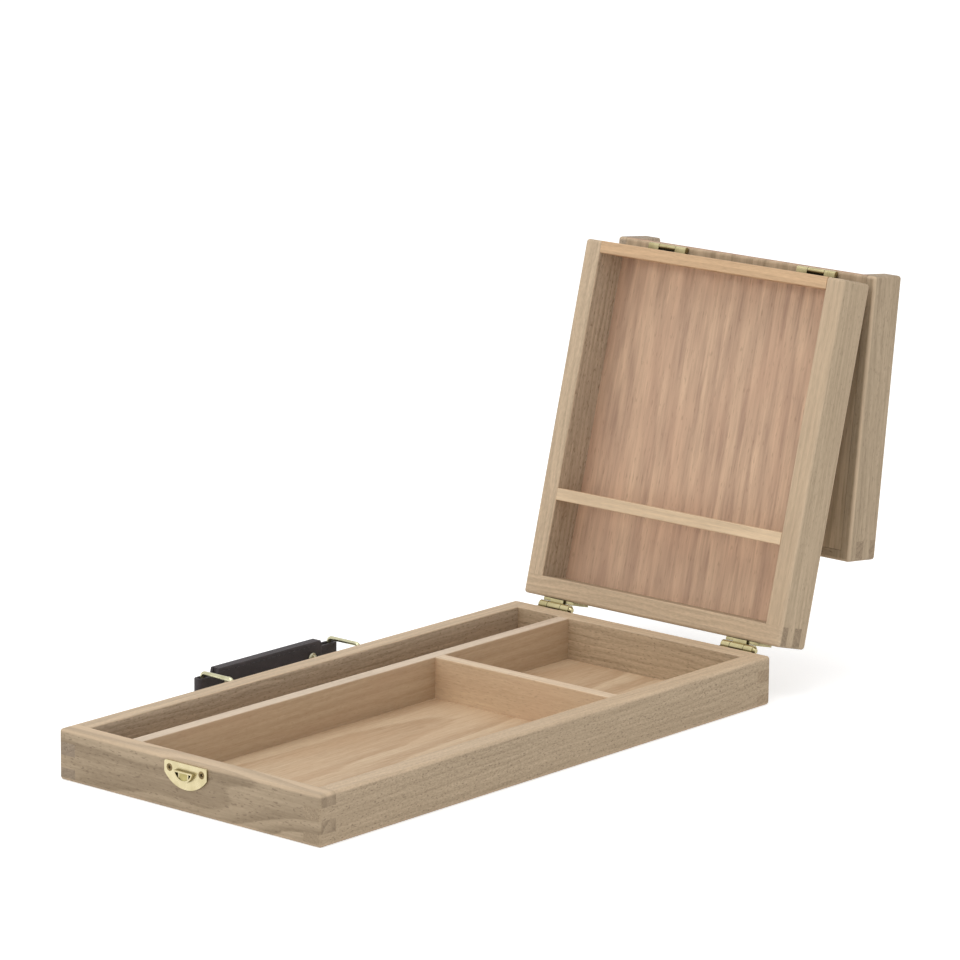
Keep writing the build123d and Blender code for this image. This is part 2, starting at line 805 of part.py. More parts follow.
# ---------------------------------------------------------------- handle
bracket_inner = wire_radius + ring_clearance
bracket_outer = bracket_inner + bracket_thickness
for bracket_name, bracket_frame in bracket_frames.items():
    with BuildPart() as bracket:
        with BuildSketch(placed(bracket_frame, Plane.XZ.offset(-bracket_width / 2))) as section:
            with Locations((0, bracket_thickness / 2)):
                Rectangle(bracket_length, bracket_thickness)
            with Locations((0, bar_height)):
                Circle(bracket_outer)
            with Locations((0, bar_height / 2)):
                Rectangle(2 * bracket_outer, bar_height)
            with Locations((0, bar_height)):
                Circle(bracket_inner, mode=Mode.SUBTRACT)
            with Locations((0, bar_height / 2)):
                Rectangle(2 * bracket_inner, bar_height, mode=Mode.SUBTRACT)
            with Locations((0, -bracket_outer)):
                Rectangle(bracket_length, 2 * bracket_outer, mode=Mode.SUBTRACT)
        extrude(amount=bracket_width)
        add(bracket_screws.part, mode=Mode.SUBTRACT)
    save(bracket.part, f"handle_{bracket_name}_bracket")

    with BuildSketch(placed(bracket_frame, Plane.YZ)) as loop:
        with Locations((0, bar_height + ring_reach / 2)):
            RectangleRounded(ring_width, ring_reach, ring_corner_radius)
    ring_path = loop.sketch.wires()[0]
    with BuildPart() as ring:
        with BuildSketch(Plane(origin=ring_path @ 0, z_dir=ring_path % 0)):
            RegularPolygon(wire_radius, wire_sides)
        sweep(path=ring_path)
    save(ring.part, f"handle_{bracket_name}_ring")
save(bracket_screws.part, "handle_bracket_screws")

# The grip is a folded strap with a loop at each end round a ring. Seen from above it is a
# slot; seen from the side its ends are narrowed to pass through the rings.
grip_axis = left_face - bar_height - ring_reach
grip_inner_face = grip_axis + grip_thickness / 2
grip_outer_face = grip_axis - grip_thickness / 2
grip_length = ring_spacing + 2 * grip_end_reach
grip_end_width = ring_width - 2 * (ring_corner_radius + ring_wall_gap)
shoulder_start = ring_spacing / 2 - grip_end_length
shoulder_end = shoulder_start - grip_shoulder_length
with BuildPart() as handle_grip:
    with BuildSketch(Plane.XY.offset(handle_height - grip_width / 2)):
        with Locations((grip_axis, 0)):
            RectangleRounded(grip_thickness, grip_length, grip_end_radius)
    extrude(amount=grip_width)
    with BuildSketch(Plane.YZ.offset(grip_outer_face)):
        for half in (-1, 1):
            for end in (-1, 1):
                narrow = handle_height + half * grip_end_width / 2
                wide = handle_height + half * grip_width / 2
                with BuildLine():
                    Polyline(
                        (end * grip_length / 2, wide),
                        (end * shoulder_end, wide),
                        (end * shoulder_start, narrow),
                        (end * grip_length / 2, narrow),
                        close=True,
                    )
                make_face()
    extrude(amount=grip_thickness, mode=Mode.SUBTRACT)
    grip_edges = handle_grip.edges().filter_by(Axis.Y).group_by(Axis.Z)
    fillet(grip_edges[0] + grip_edges[-1], grip_edge_radius)
    with BuildSketch(Plane.XY.offset(handle_height - grip_width / 2)):
        with Locations((grip_axis, 0)):
            with GridLocations(1, ring_spacing, 1, 2):
                Circle(wire_radius + ring_clearance)
    extrude(amount=grip_width, mode=Mode.SUBTRACT)
    with BuildSketch(Plane.YZ.offset(grip_outer_face)):
        with Locations((0, handle_height)):
            with GridLocations(ring_spacing - 2 * rivet_setback, 1, 2, 1):
                RegularPolygon(rivet_shank_radius, small_round_sides)
    extrude(amount=grip_thickness, mode=Mode.SUBTRACT)
save(handle_grip.part, "handle_grip")

with BuildPart() as handle_rivets:
    with BuildSketch(Plane.YZ.offset(grip_outer_face)):
        with Locations((0, handle_height)):
            with GridLocations(ring_spacing - 2 * rivet_setback, 1, 2, 1):
                RegularPolygon(rivet_shank_radius, small_round_sides)
    extrude(amount=grip_thickness)
    for face_x, outward in ((grip_outer_face, -1), (grip_inner_face, 1)):
        with BuildSketch(Plane.YZ.offset(face_x)):
            with Locations((0, handle_height)):
                with GridLocations(ring_spacing - 2 * rivet_setback, 1, 2, 1):
                    RegularPolygon(rivet_radius, small_round_sides)
        extrude(amount=outward * rivet_height, taper=head_taper)
save(handle_rivets.part, "handle_rivets")
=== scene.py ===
"""The looks of an artist's brush box with a two-part hinged lid.

The frame holds every wall, panel, hinge and ring at its real size. This script gives each board
its grain, dresses the brass and the leather, and sets the studio round them.
"""

import json
import logging
import math
from dataclasses import dataclass, replace
from enum import Enum
from functools import reduce

import bpy
import numpy as np
from mathutils import Matrix, Vector


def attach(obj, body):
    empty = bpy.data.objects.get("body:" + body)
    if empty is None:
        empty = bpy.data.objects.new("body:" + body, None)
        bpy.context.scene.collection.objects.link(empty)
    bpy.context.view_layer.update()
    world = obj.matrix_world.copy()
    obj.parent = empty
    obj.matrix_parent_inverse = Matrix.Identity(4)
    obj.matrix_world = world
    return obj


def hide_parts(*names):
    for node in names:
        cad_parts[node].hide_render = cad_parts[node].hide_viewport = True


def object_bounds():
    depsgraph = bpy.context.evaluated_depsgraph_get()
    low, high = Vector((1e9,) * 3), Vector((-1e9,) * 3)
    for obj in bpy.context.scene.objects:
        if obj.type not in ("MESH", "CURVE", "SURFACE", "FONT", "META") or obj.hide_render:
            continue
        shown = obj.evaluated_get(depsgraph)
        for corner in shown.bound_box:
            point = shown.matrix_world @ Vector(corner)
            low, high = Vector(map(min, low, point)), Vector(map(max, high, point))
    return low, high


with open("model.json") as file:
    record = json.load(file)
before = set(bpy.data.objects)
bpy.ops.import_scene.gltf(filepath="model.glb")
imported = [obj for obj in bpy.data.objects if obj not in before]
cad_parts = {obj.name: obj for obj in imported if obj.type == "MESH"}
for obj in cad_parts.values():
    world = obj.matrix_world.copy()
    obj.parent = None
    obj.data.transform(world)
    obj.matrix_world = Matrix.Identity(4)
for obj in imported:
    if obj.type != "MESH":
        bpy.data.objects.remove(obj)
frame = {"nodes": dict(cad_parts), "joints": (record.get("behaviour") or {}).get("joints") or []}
cad_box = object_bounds()

log = logging.getLogger("brush_box")
MM = 0.001
Tree, Socket = bpy.types.NodeTree, bpy.types.NodeSocket
Material, Piece = bpy.types.Material, bpy.types.Object


# ---------------------------------------------------------------- colours and nodes
def linear(hex_colour: str) -> tuple[float, float, float, float]:
    """Turns an sRGB hex colour to linear light.

    Args:
        hex_colour: six hex digits, such as "a08060".

    Returns:
        Linear red, green and blue, and an alpha of 1.
    """
    channels = [int(hex_colour[i:i + 2], 16) / 255 for i in (0, 2, 4)]
    low = [c / 12.92 for c in channels]
    high = [((c + 0.055) / 1.055) ** 2.4 for c in channels]
    return (*(h if c > 0.04045 else l for c, l, h in zip(channels, low, high)), 1.0)


def add_node(tree: Tree, kind: str, settings: dict | None = None, **inputs) -> bpy.types.Node:
    """Adds a node with its settings and links.

    Args:
        tree: the material's or world's node tree.
        kind: the node's type, without the leading "ShaderNode".
        settings: attributes of the node itself.
        inputs: input sockets by name, or as in0, in1 by place. A socket value is linked, and
            anything else becomes the input's value.

    Returns:
        The new node.
    """
    node = tree.nodes.new("ShaderNode" + kind)
    for name, value in (settings or {}).items():
        setattr(node, name, value)
    for name, value in inputs.items():
        by_place = name[:2] == "in" and name[2:].isdigit()
        socket = node.inputs[int(name[2:]) if by_place else name]
        if isinstance(value, Socket):
            tree.links.new(value, socket)
        else:
            socket.default_value = value
    return node


def maths(tree: Tree, operation: str, *values, clamp: bool = False) -> Socket:
    """One arithmetic step between sockets and numbers, held between 0 and 1 if clamped."""
    inputs = {f"in{i}": value for i, value in enumerate(values)}
    return add_node(tree, "Math", {"operation": operation, "use_clamp": clamp}, **inputs).outputs[0]


def blend_colour(tree: Tree, mode: str, factor, below, above) -> Socket:
    """Lays a share of one colour over another, by a mode such as MIX or MULTIPLY."""
    settings = {"data_type": "RGBA", "blend_type": mode}
    return add_node(tree, "Mix", settings, in0=factor, in6=below, in7=above).outputs[2]


def empty_tree(owner: Material | bpy.types.World) -> Tree:
    """Turns on the nodes of a new material or world, and clears them.

    Args:
        owner: the material or world.

    Returns:
        Its empty node tree.
    """
    owner.use_nodes = True
    owner.node_tree.nodes.clear()
    return owner.node_tree


def millimetres(tree: Tree) -> Socket:
    """A piece's own coordinates, in mm."""
    place = add_node(tree, "TexCoord")
    return add_node(tree, "Mapping", in0=place.outputs["Object"], Scale=(1 / MM,) * 3).outputs[0]


def close_material(tree: Tree, bump: bpy.types.Node, **inputs) -> None:
    """Ends a material with a bumped principled shader, whose first input is its colour."""
    shader = add_node(tree, "BsdfPrincipled", Normal=bump.outputs[0], **inputs)
    add_node(tree, "OutputMaterial", in0=shader.outputs[0])


def add_object(name: str, data: bpy.types.ID) -> Piece:
    """Puts a new object into the scene.

    Args:
        name: the object's name.
        data: its mesh, lamp or camera.

    Returns:
        The object.
    """
    piece = bpy.data.objects.new(name, data)
    bpy.context.scene.collection.objects.link(piece)
    return piece


# ---------------------------------------------------------------- frames of the three trays
@dataclass(frozen=True)
class TrayFrame:
    """The frame of one tray: x across, y along, z from the outer face to the rim, in metres.

    Attributes:
        turn: rotation that takes a direction of the model into the tray's own.
        low: the tray's lowest corner in its own directions.
        high: its highest corner.
    """

    turn: Matrix
    low: Vector
    high: Vector

    @classmethod
    def round_nodes(cls, angle: float, nodes: list[str]) -> "TrayFrame":
        """Measures the frame of a tray that is turned about X.

        Args:
            angle: the turn from the model's directions to the tray's, in radians.
            nodes: the tray's walls.

        Returns:
            The frame, with the corners of the box round the walls.
        """
        turn = Matrix.Rotation(angle, 3, "X")
        corners = np.vstack([mesh_points(name) for name in nodes]) @ np.array(turn).T
        return cls(turn, Vector(corners.min(0)), Vector(corners.max(0)))


def mesh_points(node: str) -> np.ndarray:
    """All corners of a CAD node.

    Args:
        node: the node's name.

    Returns:
        An array of points, one row each, in metres.
    """
    mesh = frame["nodes"][node].data
    points = np.empty(len(mesh.vertices) * 3)
    mesh.vertices.foreach_get("co", points)
    return points.reshape(-1, 3)


def highest_angle(joint_name: str) -> float:
    """The upper limit of a joint of the frame, in radians."""
    joint = next(j for j in frame["joints"] if j["name"] == joint_name)
    return math.radians(joint["range_deg"][1])


# ---------------------------------------------------------------- wood
class Grain(Enum):
    """Which way a board's grain runs in its tray, as rows of grain, width and thickness."""

    ALONG = ((0, 1, 0), (0, 0, 1), (1, 0, 0))
    ACROSS = ((1, 0, 0), (0, 1, 0), (0, 0, 1))
    PANEL = ((0, 1, 0), (-1, 0, 0), (0, 0, 1))


@dataclass(frozen=True)
class WoodFinish:
    """A bare, sanded wood.

    Attributes:
        name: the wood, as a maker would call it.
        early: hex colour of the soft, light growth.
        late: hex colour of the dense, dark growth.
        blush: hex colour that slow patches of the board lean to.
        pore: hex colour of the open pores.
        rim: hex colour of cut rims and of edges rubbed round, lighter partly as sanded cut and
            wear, partly as painted highlight.
        figure: how strongly the rings show, 0 to 1.
        fibre: how strongly long fibres show, 0 to 1.
        fleck: how strongly short flecks show, 0 to 1.
        fleck_size: length and width of a fleck, in mm. Real ones are half as wide, too fine
            to show.
        ring_width: distance between growth rings, in mm.
        pores: how strongly the pores show, 0 to 1.
        pore_size: length and width of a pore, in mm, drawn as coarse as the flecks.
        roughness: of the sanded face.
        relief: depth of the pores, in mm.
    """

    name: str
    early: str
    late: str
    blush: str
    pore: str
    rim: str
    figure: float
    fibre: float
    fleck: float
    fleck_size: tuple[float, float]
    ring_width: float = 3.2
    pores: float = 0.5
    pore_size: tuple[float, float] = (2.6, 0.9)
    roughness: float = 0.62
    relief: float = 0.06


# Grey-brown elm: open pores lie in fine darker streaks along the early growth.
WALL_ELM = WoodFinish("sanded_elm", early="c6b093", late="948066", blush="ac977c",
                      pore="6d5a45", rim="d2b99a", figure=0.3, fibre=0.46, fleck=0.34,
                      fleck_size=(3.0, 0.9))
# The same elm sawn towards the log's middle: the streaks close up to an even speckle.
QUARTERED_ELM = replace(WALL_ELM, name="quartered_elm", figure=0.18, fibre=0.3, fleck=0.4,
                        fleck_size=(1.9, 0.9), pores=0.6, pore_size=(1.6, 0.7))
# The same elm sawn in between: straight, fine lines.
RIFT_ELM = replace(WALL_ELM, name="rift_sawn_elm", figure=0.16, fibre=0.42, fleck=0.22,
                   fleck_size=(5.0, 0.8), pores=0.3)
# The same elm, greyer, for the left walls.
GREY_ELM = replace(WALL_ELM, name="grey_elm", early="c4b29b", late="92816c", blush="a99884")
# The same elm sawn flat, near the log's outside: wide arches with long quiet lines beside them.
FLAT_SAWN_ELM = replace(WALL_ELM, name="flat_sawn_elm", figure=0.55, fibre=0.42, fleck=0.2,
                        ring_width=8.0)
# Sliced veneer on the lid's panels: pinker, with long soft ribbons.
PANEL_VENEER = WoodFinish("lid_panel_veneer", early="e3c1a1", late="b0907a", blush="cda58a",
                          pore="8a6a55", rim="c0a080", ring_width=9.0, figure=0.3, fibre=0.42,
                          fleck=0.4, fleck_size=(34.0, 4.2), pores=0.3, pore_size=(6.0, 0.9))
# Steamed beech: close-grained and warm, with short dark flecks.
BEECH = WoodFinish("steamed_beech", early="d9c09f", late="c2a585", blush="cfae8e",
                   pore="94745a", rim="e6d2b8", ring_width=6.0, figure=0.3, fibre=0.45,
                   fleck=0.35, fleck_size=(5.0, 0.8), pores=0.25, pore_size=(3.0, 0.6))
# The same beech on the rail: warmer, with more open pores.
RAIL_BEECH = replace(BEECH, name="rail_beech", early="dcb88e", late="c39c72", blush="cf9f7e",
                     rim="deba92", fibre=0.25, fleck=0.3, pores=0.7)
# The same beech on the long divider, whose rim is the palest of all.
DIVIDER_BEECH = replace(BEECH, name="divider_beech", rim="f4e3ce")
# The same beech on the slat: paler than the rail, with fewer flecks.
SLAT_BEECH = replace(BEECH, name="slat_beech", early="dec19c", late="c7a681", rim="ecd2af",
                     fleck=0.2)
# Peeled plywood face on the floor: wide, slow figure.
FLOOR_PLY = WoodFinish("peeled_plywood", early="dcc3a2", late="bd9d7b", blush="cfae8a",
                       pore="a07c5c", rim="d2b08a", ring_width=12.0, figure=0.6, fibre=0.5,
                       fleck=0.35, fleck_size=(9.0, 0.9), pores=0.25, pore_size=(4.0, 0.7))


@dataclass(frozen=True)
class Board:
    """One board and how it was cut.

    Attributes:
        node: the CAD node's name.
        tray: the frame that its grain follows.
        grain: which way the grain runs.
        finish: its wood.
        seed: moves the board to another place in the log.
        pith: where the tree's centre line starts, over the board's width and thickness, in mm
            from the tray's lowest corner.
        slope: how far that line drifts per length, which draws the arches.
        rimmed: whether the board reaches the tray's rim and is lighter there, partly as sanded cut,
            partly as painted highlight.
        shade: how light this board is, beside its wood's colours.
        wander: how far slow noise bends the rings, in mm.
        end_dark: how much darker its end grain is, 0 to 1.
        back: wood of a thin outer face glued over the board, if it has one.
    """

    node: str
    tray: TrayFrame
    grain: Grain
    finish: WoodFinish
    seed: float
    pith: tuple[float, float] = (80.0, -60.0)
    slope: tuple[float, float] = (0.02, 0.02)
    rimmed: bool = True
    shade: float = 1.0
    wander: float = 9.0
    end_dark: float = 0.6
    back: WoodFinish | None = None


# Sizes of a board's slow patterns with the grain, across it and through it, in mm.
SLOW_BEND, QUICK_BEND = (120.0, 22.0, 22.0), (45.0, 7.0, 7.0)
FIBRE_SIZE, STREAK_SIZE, BLUSH_SIZE = (38.0, 1.3, 1.3), (170.0, 6.0, 6.0), (70.0, 24.0, 24.0)
# How far one step of a board's seed moves it in the log, and quick noise bends its rings, in mm.
LOG_STEP, QUICK_WANDER = (173.0, 31.0, 57.0), 3.0
# Shares of a ring between which its growth darkens, and between which it falls back again.
RING_RISE, RING_FALL = (0.1, 0.85), (1.0, 0.88)
# How far fibres, flecks and streaks swing the tone at full strength.
FIBRE_SWING, FLECK_SWING, STREAK_SWING = 2.2, 2.6, 1.4
# Noise between which blush and pores come up, and the most that the blush covers.
BLUSH_NOISE, PORE_NOISE, BLUSH_COVER = (0.4, 0.75), (0.66, 0.80), 0.4
# Heights between which a glued outer face comes up, in mm, and how light that face is.
BACK_HEIGHTS, BACK_SHADE = (0.9, 0.6), 1.15
# Cosines to the grain between which a face turns to end grain, and the tint of that.
END_FACING, END_TINT = (0.8, 0.97), "c6bfb8"
# Distances between which an edge lightens and a rim turns to its lighter colour, in mm: partly cut
# and wear, partly painted highlight.
EDGE_WEAR_AND_HIGHLIGHT, RIM_CUT_AND_HIGHLIGHT = (2.4, 0.9), (0.9, 0.2)
# How far a rim covers the board, and how light its early and late growth are.
RIM_COVER, RIM_EARLY, RIM_LATE = 0.85, 1.12, 0.74
# Roughness that fibres add, and how high flecks stand beside a pore's depth.
FIBRE_ROUGHNESS, FLECK_HEIGHT = 0.12, 0.4


def board_coordinates(tree: Tree, board: Board) -> tuple[Socket, Socket, Socket, Socket]:
    """Places the pattern on a board, in mm: x with the grain, y over its width, z through it.

    Args:
        tree: the material's node tree.
        board: the board.

    Returns:
        The grain's vector and the tray's vector, both from the tray's lowest corner, the grain's
        vector moved to the board's place in the log, and how far a face looks along the grain.
    """
    place = add_node(tree, "TexCoord")
    turn = Matrix(board.grain.value)
    rows = turn @ board.tray.turn
    corner = board.tray.low / MM
    scale = (1 / MM,) * 3
    grain = add_node(tree, "Mapping", in0=place.outputs["Object"], Location=-(turn @ corner),
                     Rotation=rows.to_euler("XYZ"), Scale=scale)
    shift = [board.seed * step for step in LOG_STEP]
    moved = add_node(tree, "VectorMath", {"operation": "ADD"}, in0=grain.outputs[0], in1=shift)
    tray = add_node(tree, "Mapping", in0=place.outputs["Object"], Location=-corner,
                    Rotation=board.tray.turn.to_euler("XYZ"), Scale=scale)
    facing = add_node(tree, "VectorMath", {"operation": "DOT_PRODUCT"},
                      in0=place.outputs["Normal"], in1=rows[0])
    end_grain = maths(tree, "ABSOLUTE", facing.outputs["Value"])
    return grain.outputs[0], tray.outputs[0], moved.outputs[0], end_grain


def stretched_noise(tree: Tree, vector: Socket, size: tuple, detail: float = 2.0,
                    roughness: float = 0.5) -> Socket:
    """Noise whose spots have a real size.

    Args:
        tree: the node tree.
        vector: coordinates in mm.
        size: length, width and depth of a spot, in mm.
        detail: octaves of finer noise.
        roughness: how strong those are.

    Returns:
        The noise's value, from 0 to 1.
    """
    scaled = add_node(tree, "VectorMath", {"operation": "DIVIDE"}, in0=vector, in1=size)
    noise = add_node(tree, "TexNoise", in0=scaled.outputs[0], Scale=1.0, Detail=detail,
                     Roughness=roughness)
    return noise.outputs[0]


def smooth_range(tree: Tree, value: Socket, start: float, end: float) -> Socket:
    """Eases a value from 0 at start to 1 at end."""
    ease = {"interpolation_type": "SMOOTHSTEP"}
    return add_node(tree, "MapRange", ease, in0=value, in1=start, in2=end).outputs[0]


def swing(tree: Tree, value: Socket, amount: float) -> Socket:
    """A value from 0 to 1, centred on zero and scaled."""
    return maths(tree, "MULTIPLY", maths(tree, "SUBTRACT", value, 0.5), amount)


def total(tree: Tree, *values) -> Socket:
    """The sum of several sockets and numbers."""
    return reduce(lambda running, value: maths(tree, "ADD", running, value), values)


def shaded(hex_colour: str, shade: float) -> tuple[float, float, float, float]:
    """A hex colour as linear light, made lighter or darker by a factor."""
    red, green, blue, alpha = linear(hex_colour)
    return red * shade, green * shade, blue * shade, alpha


def growth_rings(tree: Tree, grain: Socket, moved: Socket, board: Board) -> Socket:
    """Rings as distance from the tree's centre line, which drifts along, bent by slow noise.

    Args:
        tree: the node tree.
        grain: the board's vector in mm, from the tray's corner.
        moved: the same at the board's place in the log.
        board: the board, for the centre line and its slope.

    Returns:
        0 in early growth to 1 in late growth.
    """
    slow = stretched_noise(tree, moved, SLOW_BEND, detail=1.0)
    quick = stretched_noise(tree, moved, QUICK_BEND, detail=1.0)
    parts = add_node(tree, "SeparateXYZ", in0=grain)
    squares = []
    for axis, start, slope in zip((1, 2), board.pith, board.slope):
        line = maths(tree, "ADD", maths(tree, "MULTIPLY", parts.outputs[0], slope), start)
        across = maths(tree, "SUBTRACT", parts.outputs[axis], line)
        squares.append(maths(tree, "MULTIPLY", across, across))
    radius = maths(tree, "SQRT", total(tree, *squares))
    bent = total(tree, radius, swing(tree, slow, board.wander), swing(tree, quick, QUICK_WANDER))
    phase = maths(tree, "FRACT", maths(tree, "DIVIDE", bent, board.finish.ring_width))
    fall = smooth_range(tree, phase, *RING_FALL)
    return maths(tree, "MULTIPLY", smooth_range(tree, phase, *RING_RISE), fall)


def worn_and_highlit_edges(tree: Tree, tray_place: Socket, board: Board) -> Socket:
    """Finds the long outer edges of a tray: near a side as well as near its top or bottom.

    Args:
        tree: the node tree.
        tray_place: the tray's vector in mm, from its lowest corner.
        board: the board, for the tray's size.

    Returns:
        1 on an edge, easing to 0 within two and a half millimetres: where wear and a painted
        highlight lighten the wood.
    """
    size = (board.tray.high - board.tray.low) / MM
    parts = add_node(tree, "SeparateXYZ", in0=tray_place)
    side, end, level = (
        maths(tree, "MINIMUM", place, maths(tree, "SUBTRACT", length, place))
        for place, length in zip(parts.outputs, size)
    )
    distance = maths(tree, "MAXIMUM", maths(tree, "MINIMUM", side, end), level)
    return smooth_range(tree, distance, *EDGE_WEAR_AND_HIGHLIGHT)


def wood(board: Board) -> Material:
    """Bare wood, cut from its own place in the log.

    Light and dark growth make the figure, fibres and flecks run along it, and short open pores
    are darker and sunk. End grain drinks light and is darker; rims and edges are lighter, partly
    as sanded cut and wear, partly as painted highlight.

    Args:
        board: the board to finish.

    Returns:
        The material.
    """
    finish, shade = board.finish, board.shade
    material = bpy.data.materials.new(f"{finish.name}_{board.node}")
    tree = empty_tree(material)
    grain, tray, pattern, end_grain = board_coordinates(tree, board)
    rings = growth_rings(tree, grain, pattern, board)
    fibre = stretched_noise(tree, pattern, FIBRE_SIZE, detail=3.0, roughness=0.6)
    streak = stretched_noise(tree, pattern, STREAK_SIZE)
    fleck = stretched_noise(tree, pattern, (*finish.fleck_size, finish.fleck_size[1]), detail=1.0)
    pore = stretched_noise(tree, pattern, (*finish.pore_size, finish.pore_size[1]), detail=0.0)
    cloud = stretched_noise(tree, pattern, BLUSH_SIZE, detail=1.0)

    tone = total(tree, 0.5, swing(tree, rings, finish.figure),
                 swing(tree, fibre, FIBRE_SWING * finish.fibre),
                 swing(tree, fleck, FLECK_SWING * finish.fleck))
    tone = maths(tree, "ADD", tone, swing(tree, streak, STREAK_SWING * finish.fibre), clamp=True)
    body = blend_colour(tree, "MIX", tone, shaded(finish.early, shade), shaded(finish.late, shade))
    blush = maths(tree, "MULTIPLY", smooth_range(tree, cloud, *BLUSH_NOISE), BLUSH_COVER)
    body = blend_colour(tree, "MIX", blush, body, shaded(finish.blush, shade))
    height = add_node(tree, "SeparateXYZ", in0=tray).outputs[2]
    if board.back is not None:
        early, late = (shaded(c, BACK_SHADE) for c in (board.back.early, board.back.late))
        outer = blend_colour(tree, "MIX", tone, early, late)
        body = blend_colour(tree, "MIX", smooth_range(tree, height, *BACK_HEIGHTS), body, outer)
    pore_mask = maths(tree, "MULTIPLY", smooth_range(tree, pore, *PORE_NOISE), finish.pores)
    body = blend_colour(tree, "MIX", pore_mask, body, linear(finish.pore))

    end_mask = maths(tree, "MULTIPLY", smooth_range(tree, end_grain, *END_FACING), board.end_dark)
    body = blend_colour(tree, "MULTIPLY", end_mask, body, linear(END_TINT))
    # Rims and rubbed edges take a lighter colour: partly sanded cut and wear, partly painted
    # highlight on tops and rounded edges.
    if board.rimmed:
        depth = (board.tray.high.z - board.tray.low.z) / MM
        rim = smooth_range(tree, height, *(depth - below for below in RIM_CUT_AND_HIGHLIGHT))
        light = maths(tree, "MAXIMUM", rim, worn_and_highlit_edges(tree, tray, board))
        early, late = shaded(finish.rim, RIM_EARLY), shaded(finish.rim, RIM_LATE)
        cut = blend_colour(tree, "MIX", tone, early, late)
        body = blend_colour(tree, "MIX", maths(tree, "MULTIPLY", light, RIM_COVER), body, cut)

    relief = total(tree, maths(tree, "MULTIPLY", fleck, FLECK_HEIGHT),
                   maths(tree, "MULTIPLY", pore_mask, -1.0))
    bump = add_node(tree, "Bump", Strength=0.6, Distance=finish.relief * MM, Height=relief)
    rough = total(tree, finish.roughness, maths(tree, "MULTIPLY", fibre, FIBRE_ROUGHNESS))
    close_material(tree, bump, in0=body, Roughness=rough, IOR=1.5)
    return material


# ---------------------------------------------------------------- metal and leather
@dataclass(frozen=True)
class MetalFinish:
    """A plated or bare metal.

    Attributes:
        name: the metal, as a maker would call it.
        clean: hex colour of the bright face.
        worn: hex colour where it is rubbed or tarnished.
        dark: hex colour of the tarnish and painted shade that gather in corners.
        roughness: of the bright face.
        patch: size of the tarnish, in mm.
        crevice: how wide the corners are that hold it, in mm.
        wear: the most that the worn colour covers.
        wear_noise: noise between which it comes up.
        openness: open share of the view between which the dark comes up.
        worn_roughness: roughness that full wear adds.
        dark_roughness: roughness that the dark adds.
        scratch_size: size of the fine scratches, in mm.
        scratch_depth: their depth, in mm.
    """

    name: str
    clean: str
    worn: str
    dark: str
    roughness: float
    patch: float
    crevice: float
    wear: float = 0.6
    wear_noise: tuple[float, float] = (0.42, 0.72)
    openness: tuple[float, float] = (0.8, 0.25)
    worn_roughness: float = 0.14
    dark_roughness: float = 0.2
    scratch_size: tuple[float, float, float] = (3.0, 0.15, 0.15)
    scratch_depth: float = 0.02

    def material(self) -> Material:
        """The metal's material.

        Returns:
            A metallic material whose colour and roughness drift in soft patches, and whose corners
            darken with tarnish and painted shade.
        """
        material = bpy.data.materials.new(self.name)
        tree = empty_tree(material)
        place = millimetres(tree)
        drift = stretched_noise(tree, place, (self.patch,) * 3, detail=3.0)
        # Ambient occlusion darkens corners and faces near other parts: partly tarnish, partly
        # painted shade.
        hollow = add_node(tree, "AmbientOcclusion", {"samples": 8}, Distance=self.crevice * MM)
        dark = smooth_range(tree, hollow.outputs["AO"], *self.openness)
        worn = maths(tree, "MULTIPLY", smooth_range(tree, drift, *self.wear_noise), self.wear)
        colour = blend_colour(tree, "MIX", worn, linear(self.clean), linear(self.worn))
        colour = blend_colour(tree, "MIX", dark, colour, linear(self.dark))
        rough = total(tree, self.roughness, maths(tree, "MULTIPLY", worn, self.worn_roughness),
                      maths(tree, "MULTIPLY", dark, self.dark_roughness))
        scratches = stretched_noise(tree, place, self.scratch_size, detail=1.0)
        bump = add_node(tree, "Bump", Strength=0.12, Distance=self.scratch_depth * MM,
                        Height=scratches)
        close_material(tree, bump, in0=colour, Metallic=1.0, Roughness=rough)
        return material


# Stamped sheet with bright brass plating, which mirrors the room as pale yellow.
BRASS_PLATE = MetalFinish("plated_brass", clean="d2c6a0", worn="bdb085", dark="5c522f",
                          roughness=0.27, patch=7.0, crevice=9.0)
# The same sheet on the hinges, with painted shade sitting deep between leaf and barrel, where the
# lid shades the leaf.
BRASS_HINGE = replace(BRASS_PLATE, name="hinge_brass", clean="cabe92", worn="a0956a",
                      dark="332c14", roughness=0.2, crevice=16.0)
# The same sheet on the rivets, rubbed pale by the hand.
BRASS_RIVET = replace(BRASS_PLATE, name="rubbed_brass", clean="c4bfa6", worn="a49e86",
                      crevice=3.0)
# The same sheet inside the keeper's hood, duller as never polished, and darker as painted shade of
# the hood's recess.
BRASS_HOOD_PAINTED_SHADE = replace(BRASS_PLATE, name="unpolished_brass_painted_shade", clean="b3a873", worn="958a56",
                     roughness=0.38)
# Drawn wire with the same plating, a little greener.
BRASS_WIRE = MetalFinish("brass_wire", clean="cdc9a8", worn="a9a582", dark="77704e",
                         roughness=0.24, patch=5.0, crevice=3.0)
# Antiqued screws: bronze with dark recesses.
BRONZE_SCREW = MetalFinish("antique_screw", clean="8a7854", worn="5c4c33", dark="2c241a",
                           roughness=0.36, patch=2.0, crevice=0.8)


